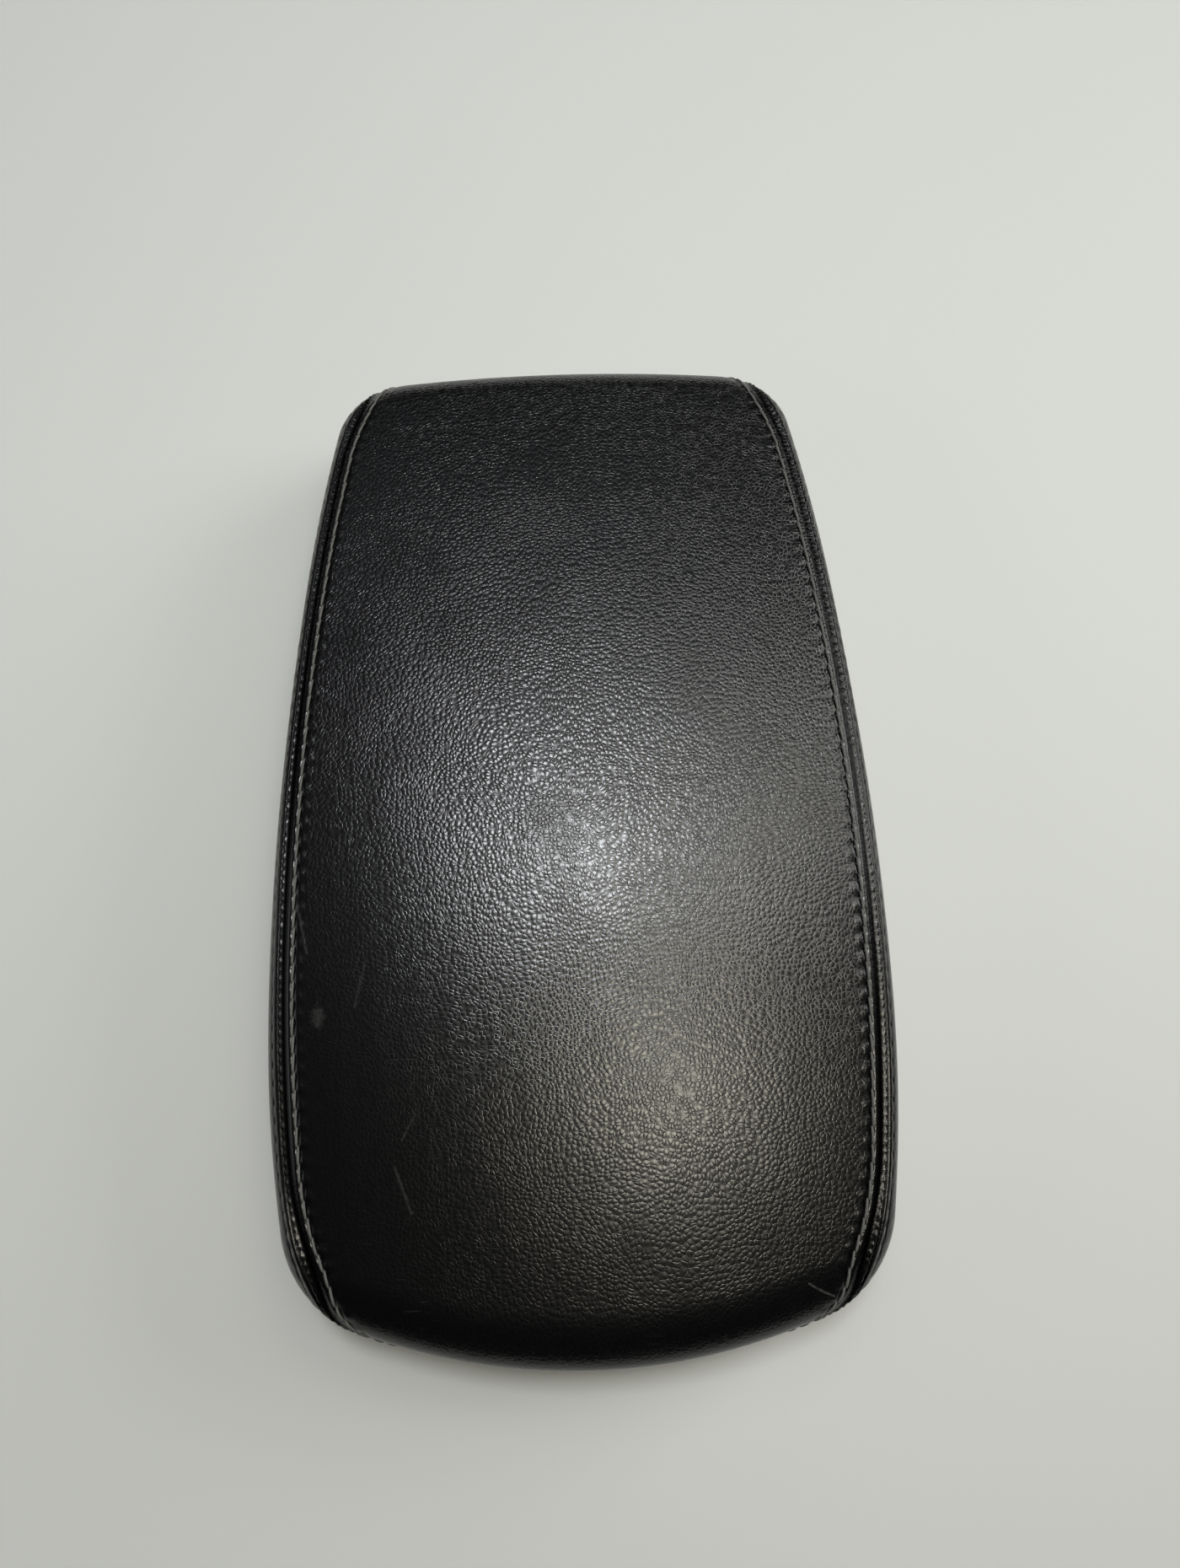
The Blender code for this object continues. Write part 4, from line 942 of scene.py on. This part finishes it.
@dataclass(frozen=True)
class LeatherFinish:
    """Black pebbled leather, worn smooth in places."""

    name: str
    colour: tuple[float, float, float] = (0.0017, 0.0017, 0.0019)
    dust: tuple[float, float, float] = (0.075, 0.073, 0.070)
    roughness: float = 0.25
    grain_cell: float = 780.0
    grain_relief: float = 0.000054
    fold_relief: float = 0.00012
    rubbed_middle: tuple[float, float, float] = (-0.066, -0.058, 0.0)
    rubbed_scale: tuple[float, float, float] = (27.0, 13.0, 0.0)
    # How far the painted seam shade darkens the gap and the needle holes.
    painted_gap_shade: float = 0.92

    def build(self) -> bpy.types.Material:
        """Make the material.

        Returns:
            The finished material.
        """
        material, tree, shader = new_material(self.name)
        where = tree.node("ShaderNodeAttribute", attribute_name="hide_place").outputs["Vector"]
        grain = use_group(tree, Groups.pebble_grain(), where, Cell=self.grain_cell)
        scuffs = use_group(tree, Groups.scuffs(), where, Amount=0.55)
        patches = tree.noise(where, 16.0, 4.0, 0.6)
        wear = tree.spread(patches.outputs["Fac"], 0.52, 0.72)
        wear = tree.math("MAXIMUM", tree.math("MULTIPLY", wear, 0.45), self._rubbed(tree, where))
        depth = tree.math("MULTIPLY", tree.math("MULTIPLY_ADD", wear, -0.85, 1.0), self._stretch(tree, where))
        crease = tree.math("MULTIPLY", grain.outputs["Crease"], depth)
        creased = tree.math("MULTIPLY", crease, 0.45)
        colour = tree.blend(creased, (*self.colour, 1.0), (0.0015, 0.0015, 0.0017, 1.0))
        marks = self._marks(tree, where)
        dusty = tree.math("MAXIMUM", tree.math("MULTIPLY", scuffs.outputs["Lines"], 0.30), marks)
        colour = tree.blend(dusty, colour, (*self.dust, 1.0))
        tree.link(colour, shader.inputs["Base Color"])
        rough = tree.math("MULTIPLY_ADD", grain.outputs["Fine"], 0.08, self.roughness - 0.04)
        rough = tree.math("MULTIPLY_ADD", crease, 0.10, rough)
        rough = tree.math("MULTIPLY_ADD", wear, -0.04, rough)
        gap = tree.node("ShaderNodeAttribute", attribute_name="painted_seam_shade").outputs["Fac"]
        # Painted shade: black metal mirrors almost nothing, so the gap beside the join looks unlit.
        tree.link(tree.math("MULTIPLY", gap, self.painted_gap_shade), shader.inputs["Metallic"])
        tree.link(rough, shader.inputs["Roughness"])
        height = tree.math("MULTIPLY", grain.outputs["Height"], depth)
        normal = tree.bump(self._folds(tree, where), 0.5, self.fold_relief)
        normal = tree.bump(height, 1.0, self.grain_relief, normal)
        tree.link(normal, shader.inputs["Normal"])
        return material

    def _stretch(self, tree: Tree, where: object) -> object:
        """Scale the grain's depth: shallow where the hide is stretched over the wide end."""
        place = tree.split(where)
        along = tree.math("MULTIPLY_ADD", place.outputs["X"], -0.20, place.outputs["Y"])
        far = tree.spread(along, -0.13, 0.12, 0.52, 1.50)
        left = tree.spread(place.outputs["X"], -0.080, -0.030, 0.60, 1.0)
        edge = tree.spread(tree.math("ABSOLUTE", place.outputs["X"]), 0.074, 0.084, 1.0, 0.5)
        return tree.math("MULTIPLY", far, tree.math("MULTIPLY", left, edge))

    def _rubbed(self, tree: Tree, where: object) -> object:
        """Mask the part of the face where an arm has rubbed the grain smooth."""
        place = tree.vector("SUBTRACT", where, self.rubbed_middle)
        shrink = tree.vector("MULTIPLY", place.outputs[0], self.rubbed_scale)
        length = tree.vector("LENGTH", shrink.outputs[0])
        ragged = tree.noise(where, 38.0, 2.0, 0.5)
        far = tree.math("MULTIPLY_ADD", ragged.outputs["Fac"], 0.7, length.outputs["Value"])
        return tree.spread(far, 0.45, 2.2, 0.50, 0.0)

    def _marks(self, tree: Tree, where: object) -> object:
        """Mask the pale scratches and the smudge that this lid has picked up."""
        total = None
        for mark in WEAR_MARKS:
            turn = math.atan2(mark.end[1] - mark.start[1], mark.end[0] - mark.start[0])
            reach = math.hypot(mark.end[1] - mark.start[1], mark.end[0] - mark.start[0])
            made = use_group(tree, Groups.stroke(), where, X=mark.start[0], Y=mark.start[1], Turn=-turn,
                             Reach=reach, Width=mark.width, Strength=mark.strength)
            share = made.outputs["Mask"]
            total = share if total is None else tree.math("MAXIMUM", total, share)
        return total

    def _folds(self, tree: Tree, where: object) -> object:
        """Make the faint lengthwise folds that stretched leather has."""
        folds = tree.noise(tree.mapping(where, (1.0, 0.22, 1.0)), 170.0, 2.0, 0.5)
        return folds.outputs["Fac"]


@dataclass(frozen=True)
class ThreadFinish:
    """Twisted sewing thread."""

    name: str = "sewing_thread"
    colour: tuple[float, float, float] = (0.115, 0.112, 0.106)
    lay: float = 0.7

    def build(self) -> bpy.types.Material:
        """Make the material.

        Returns:
            The finished material.
        """
        material, tree, shader = new_material(self.name)
        where = tree.place()
        twist = tree.node("ShaderNodeTexWave", bands_direction="Y")
        tree.link(tree.mapping(where, (1.0, 1.0, 1.0), self.lay), twist.inputs["Vector"])
        twist.inputs["Scale"].default_value = 1300.0
        twist.inputs["Distortion"].default_value = 1.5
        shade = tree.noise(where, 320.0, 3.0, 0.6)
        dark = tuple(0.45 * part for part in self.colour)
        colour = tree.blend(shade.outputs["Fac"], (*dark, 1.0), (*self.colour, 1.0))
        tree.link(colour, shader.inputs["Base Color"])
        shader.inputs["Roughness"].default_value = 0.62
        tree.link(tree.bump(twist.outputs["Fac"], 0.5, 0.00012), shader.inputs["Normal"])
        return material


@dataclass(frozen=True)
class MouldedFinish:
    """Moulded plastic or rubber with a fine grain."""

    name: str
    colour: tuple[float, float, float]
    roughness: float
    grain: float = 0.25
    scale: float = 2600.0
    dust: float = 0.18

    def build(self) -> bpy.types.Material:
        """Make the material.

        Returns:
            The finished material.
        """
        material, tree, shader = new_material(self.name)
        where = tree.place()
        face = use_group(tree, Groups.moulded(), where, Scale=self.scale)
        scuffs = use_group(tree, Groups.scuffs(), where, Amount=self.dust * 2.0)
        pale = tuple(min(1.0, 0.05 + 1.7 * part) for part in self.colour)
        share = tree.math("MULTIPLY", face.outputs["Mottle"], self.dust)
        share = tree.math("MULTIPLY_ADD", scuffs.outputs["Lines"], 0.35, share)
        colour = tree.blend(share, (*self.colour, 1.0), (*pale, 1.0))
        tree.link(colour, shader.inputs["Base Color"])
        rough = tree.math("MULTIPLY_ADD", face.outputs["Mottle"], 0.22, self.roughness - 0.11)
        tree.link(rough, shader.inputs["Roughness"])
        tree.link(tree.bump(face.outputs["Height"], self.grain, 0.0002), shader.inputs["Normal"])
        return material


@dataclass(frozen=True)
class MetalFinish:
    """Plain or plated metal with brushed lines and light wear."""

    name: str
    colour: tuple[float, float, float]
    roughness: float
    brush: float = 0.2
    tarnish: tuple[float, float, float] = (0.20, 0.19, 0.17)

    def build(self) -> bpy.types.Material:
        """Make the material.

        Returns:
            The finished material.
        """
        material, tree, shader = new_material(self.name)
        where = tree.place()
        lines = tree.noise(tree.mapping(where, (1.0, 30.0, 30.0)), 150.0, 3.0, 0.6)
        stain = tree.noise(where, 70.0, 5.0, 0.62)
        share = tree.spread(stain.outputs["Fac"], 0.50, 0.72, 0.0, 0.55)
        colour = tree.blend(share, (*self.colour, 1.0), (*self.tarnish, 1.0))
        tree.link(colour, shader.inputs["Base Color"])
        rough = tree.math("MULTIPLY_ADD", lines.outputs["Fac"], self.brush, self.roughness - self.brush / 2.0)
        rough = tree.math("MULTIPLY_ADD", share, 0.25, rough)
        tree.link(rough, shader.inputs["Roughness"])
        shader.inputs["Metallic"].default_value = 1.0
        tree.link(tree.bump(lines.outputs["Fac"], 0.12, 0.0001), shader.inputs["Normal"])
        return material


@dataclass
class Studio:
    """Pale floor, soft light and the photograph's camera."""

    tilt: float = math.radians(15.3)
    turn: float = 0.034
    distance: float = 0.3395
    aim: tuple[float, float, float] = (0.0045, 0.0036, 0.056)
    focal_share: float = 1400.0 / 1860.0

    def camera(self) -> bpy.types.Object:
        """Place the camera over the wide end, looking toward the narrow end."""
        data = bpy.data.cameras.new("photo_camera")
        data.sensor_width = 36.0
        data.lens = 36.0 * self.focal_share
        data.clip_start = 0.02
        data.clip_end = 20.0
        forward = Vector((0.0, math.sin(self.tilt), -math.cos(self.tilt)))
        up = Vector((0.0, math.cos(self.tilt), math.sin(self.tilt)))
        back_turn = Matrix.Rotation(-self.turn, 3, "Z")
        forward, up = back_turn @ forward, back_turn @ up
        right = forward.cross(up)
        item = bpy.data.objects.new("photo_camera", data)
        turn = Matrix((right, up, -forward)).transposed().to_4x4()
        item.matrix_world = Matrix.Translation(Vector(self.aim) - forward * self.distance) @ turn
        bpy.context.scene.collection.objects.link(item)
        bpy.context.scene.camera = item
        return item

    def floor(self) -> bpy.types.Object:
        """Lay a pale table top under the lid, with painted shade that darkens it toward the front."""
        span = 6.0
        corners = np.array([(-span, -span, 0.0), (span, -span, 0.0), (span, span, 0.0), (-span, span, 0.0)])
        item = mesh_object("table_top", corners, [(0, 1, 2, 3)])
        material, tree, shader = new_material("pale_table")
        where = tree.place()
        cloud = tree.noise(where, 3.0, 3.0, 0.5)
        place = tree.split(where)
        aside = tree.math("ABSOLUTE", place.outputs["X"])
        # Painted shade: the table's colour darkens toward the front and lightens toward the back and off to
        # the sides, as the light falls off. The cloud is random tone.
        painted_falloff = tree.spread(tree.math("MULTIPLY_ADD", aside, 0.25, place.outputs["Y"]), -0.40, 0.16)
        tone_and_painted_falloff = tree.math("MULTIPLY_ADD", cloud.outputs["Fac"], 0.25, tree.math("MULTIPLY", painted_falloff, 0.75))
        colour = tree.blend(tone_and_painted_falloff, (0.43, 0.435, 0.425, 1.0), (0.53, 0.54, 0.525, 1.0))
        tree.link(colour, shader.inputs["Base Color"])
        shader.inputs["Roughness"].default_value = 0.55
        shader.inputs["Specular IOR Level"].default_value = 0.25
        item.data.materials.append(material)
        return item

    def light(
        self,
        name: str,
        place: tuple[float, float, float],
        size: tuple[float, float],
        power: float,
        colour: tuple[float, float, float],
    ) -> bpy.types.Object:
        """Add one soft panel of light aimed at the lid."""
        data = bpy.data.lights.new(name, "AREA")
        data.shape = "RECTANGLE"
        data.size, data.size_y = size
        data.energy = power
        data.color = colour
        item = bpy.data.objects.new(name, data)
        item.location = place
        item.rotation_euler = (Vector((0.0, 0.0, 0.04)) - Vector(place)).to_track_quat("-Z", "Y").to_euler()
        bpy.context.scene.collection.objects.link(item)
        return item

    def world(self, strength: float, colour: tuple[float, float, float]) -> None:
        """Set an even ambient light."""
        world = bpy.data.worlds.new("soft_room")
        world.use_nodes = True
        background = world.node_tree.nodes["Background"]
        background.inputs["Color"].default_value = (*colour, 1.0)
        background.inputs["Strength"].default_value = strength
        bpy.context.scene.world = world

    def build(self) -> None:
        """Set up the whole studio."""
        self.camera()
        self.floor()
        self.world(0.009, (0.95, 1.0, 1.0))
        self.light("overhead_middle", (-0.03, 0.24, 1.30), (0.18, 0.24), 7.8, (0.95, 0.98, 1.0))
        self.light("overhead_right", (0.29, 0.12, 1.30), (0.20, 0.26), 1.5, (1.0, 0.95, 0.84))
        self.light("overhead_warm", (0.20, -0.33, 1.30), (0.22, 0.24), 4.2, (1.0, 0.95, 0.80))
        self.light("overhead_cool", (-0.15, 0.50, 1.30), (0.18, 0.24), 0.9, (0.96, 0.90, 1.0))
        self.light("overhead_far", (0.45, 0.52, 1.30), (0.20, 0.20), 1.0, (0.97, 1.0, 0.85))
        self.light("side_strip", (0.66, 0.30, 1.30), (0.26, 0.90), 3.2, (1.0, 0.98, 0.95))
        self.light("rear_strip", (0.0, 0.78, 1.30), (0.90, 0.18), 1.0, (0.88, 0.94, 1.0))
        self.light("rear_glow", (-0.2, 1.50, 1.30), (2.2, 0.5), 0.9, (0.90, 0.96, 1.0))
        self.light("window", (1.75, 0.75, 0.95), (1.2, 1.0), 23.0, (1.0, 1.0, 0.98))
        self.light("fill", (-1.65, -0.1, 0.75), (1.0, 0.9), 3.6, (0.96, 1.0, 0.98))
        view = bpy.context.scene.view_settings
        view.view_transform = "Standard"


@dataclass
class Armrest:
    """The dressed lid: new leather over the solids, and finishes on all the rest."""

    frame: dict
    nodes: dict[str, bpy.types.Object] = field(init=False)

    def __post_init__(self) -> None:
        """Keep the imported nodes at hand."""
        self.nodes = self.frame["nodes"]

    def paint(self, material: bpy.types.Material, *starts: str) -> None:
        """Give a material to every solid whose name begins with one of the given words."""
        for name, item in self.nodes.items():
            if name.startswith(starts):
                item.data.materials.clear()
                item.data.materials.append(material)

    def dress(self) -> None:
        """Build the leather and its threads, and replace the plain panels."""
        surface = PadSurface(PadForm())
        seam = Seam(surface, SeamForm())
        cover = LeatherCover(surface, seam)
        leather = LeatherFinish("black_leather_look").build()
        thread = ThreadFinish().build()
        centre = cover.centre_panel()
        centre.data.materials.append(leather)
        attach(centre, "lid")
        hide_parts("centre_cover", "foam_pad")
        for side in Side:
            panel = cover.side_panel(side)
            panel.data.materials.append(leather)
            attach(panel, "lid")
            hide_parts(f"side_cover_{side.name.lower()}")
            for number, row in enumerate(Row):
                threads = cover.stitches(side, row, seed=11 + 2 * number)
                threads.data.materials.append(thread)
                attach(threads, "lid")
        LOG.info("leather: %d vertices", len(centre.data.vertices))

    def finish_solids(self) -> None:
        """Give every remaining solid its own finish."""
        finishes = (
            (
                MouldedFinish("black_plastic_look", (0.020, 0.020, 0.022), 0.52),
                *("upper_carrier", "lower_cover", "latch_lever"),
            ),
            (MouldedFinish("white_plastic_look", (0.66, 0.66, 0.63), 0.40, 0.1), "hinge_bush"),
            (MouldedFinish("rubber_look", (0.012, 0.012, 0.013), 0.82, 0.4, 1800.0), "bump_stop"),
            (MetalFinish("hinge_steel_look", (0.50, 0.50, 0.51), 0.36), "hinge_leaf", "hinge_bracket"),
            (
                MetalFinish("bright_steel_look", (0.62, 0.62, 0.63), 0.26),
                *("hinge_pin", "latch_pin", "latch_spring"),
            ),
            (MetalFinish("screw_look", (0.12, 0.12, 0.13), 0.40), "cover_screw", "hinge_leaf_screw"),
            (MetalFinish("brass_look", (0.62, 0.45, 0.19), 0.32), "hinge_insert"),
        )
        for finish, *starts in finishes:
            self.paint(finish.build(), *starts)

    def build(self) -> None:
        """Dress and paint the whole lid."""
        self.dress()
        self.finish_solids()


def clear_start() -> None:
    """Remove what a new file starts with."""
    for item in list(bpy.data.objects):
        bpy.data.objects.remove(item, do_unlink=True)


def main() -> None:
    """Build the whole scene."""
    logging.basicConfig(level=logging.INFO)
    clear_start()
    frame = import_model()
    Armrest(frame).build()
    Studio().build()


if __name__ == "__main__":
    main()
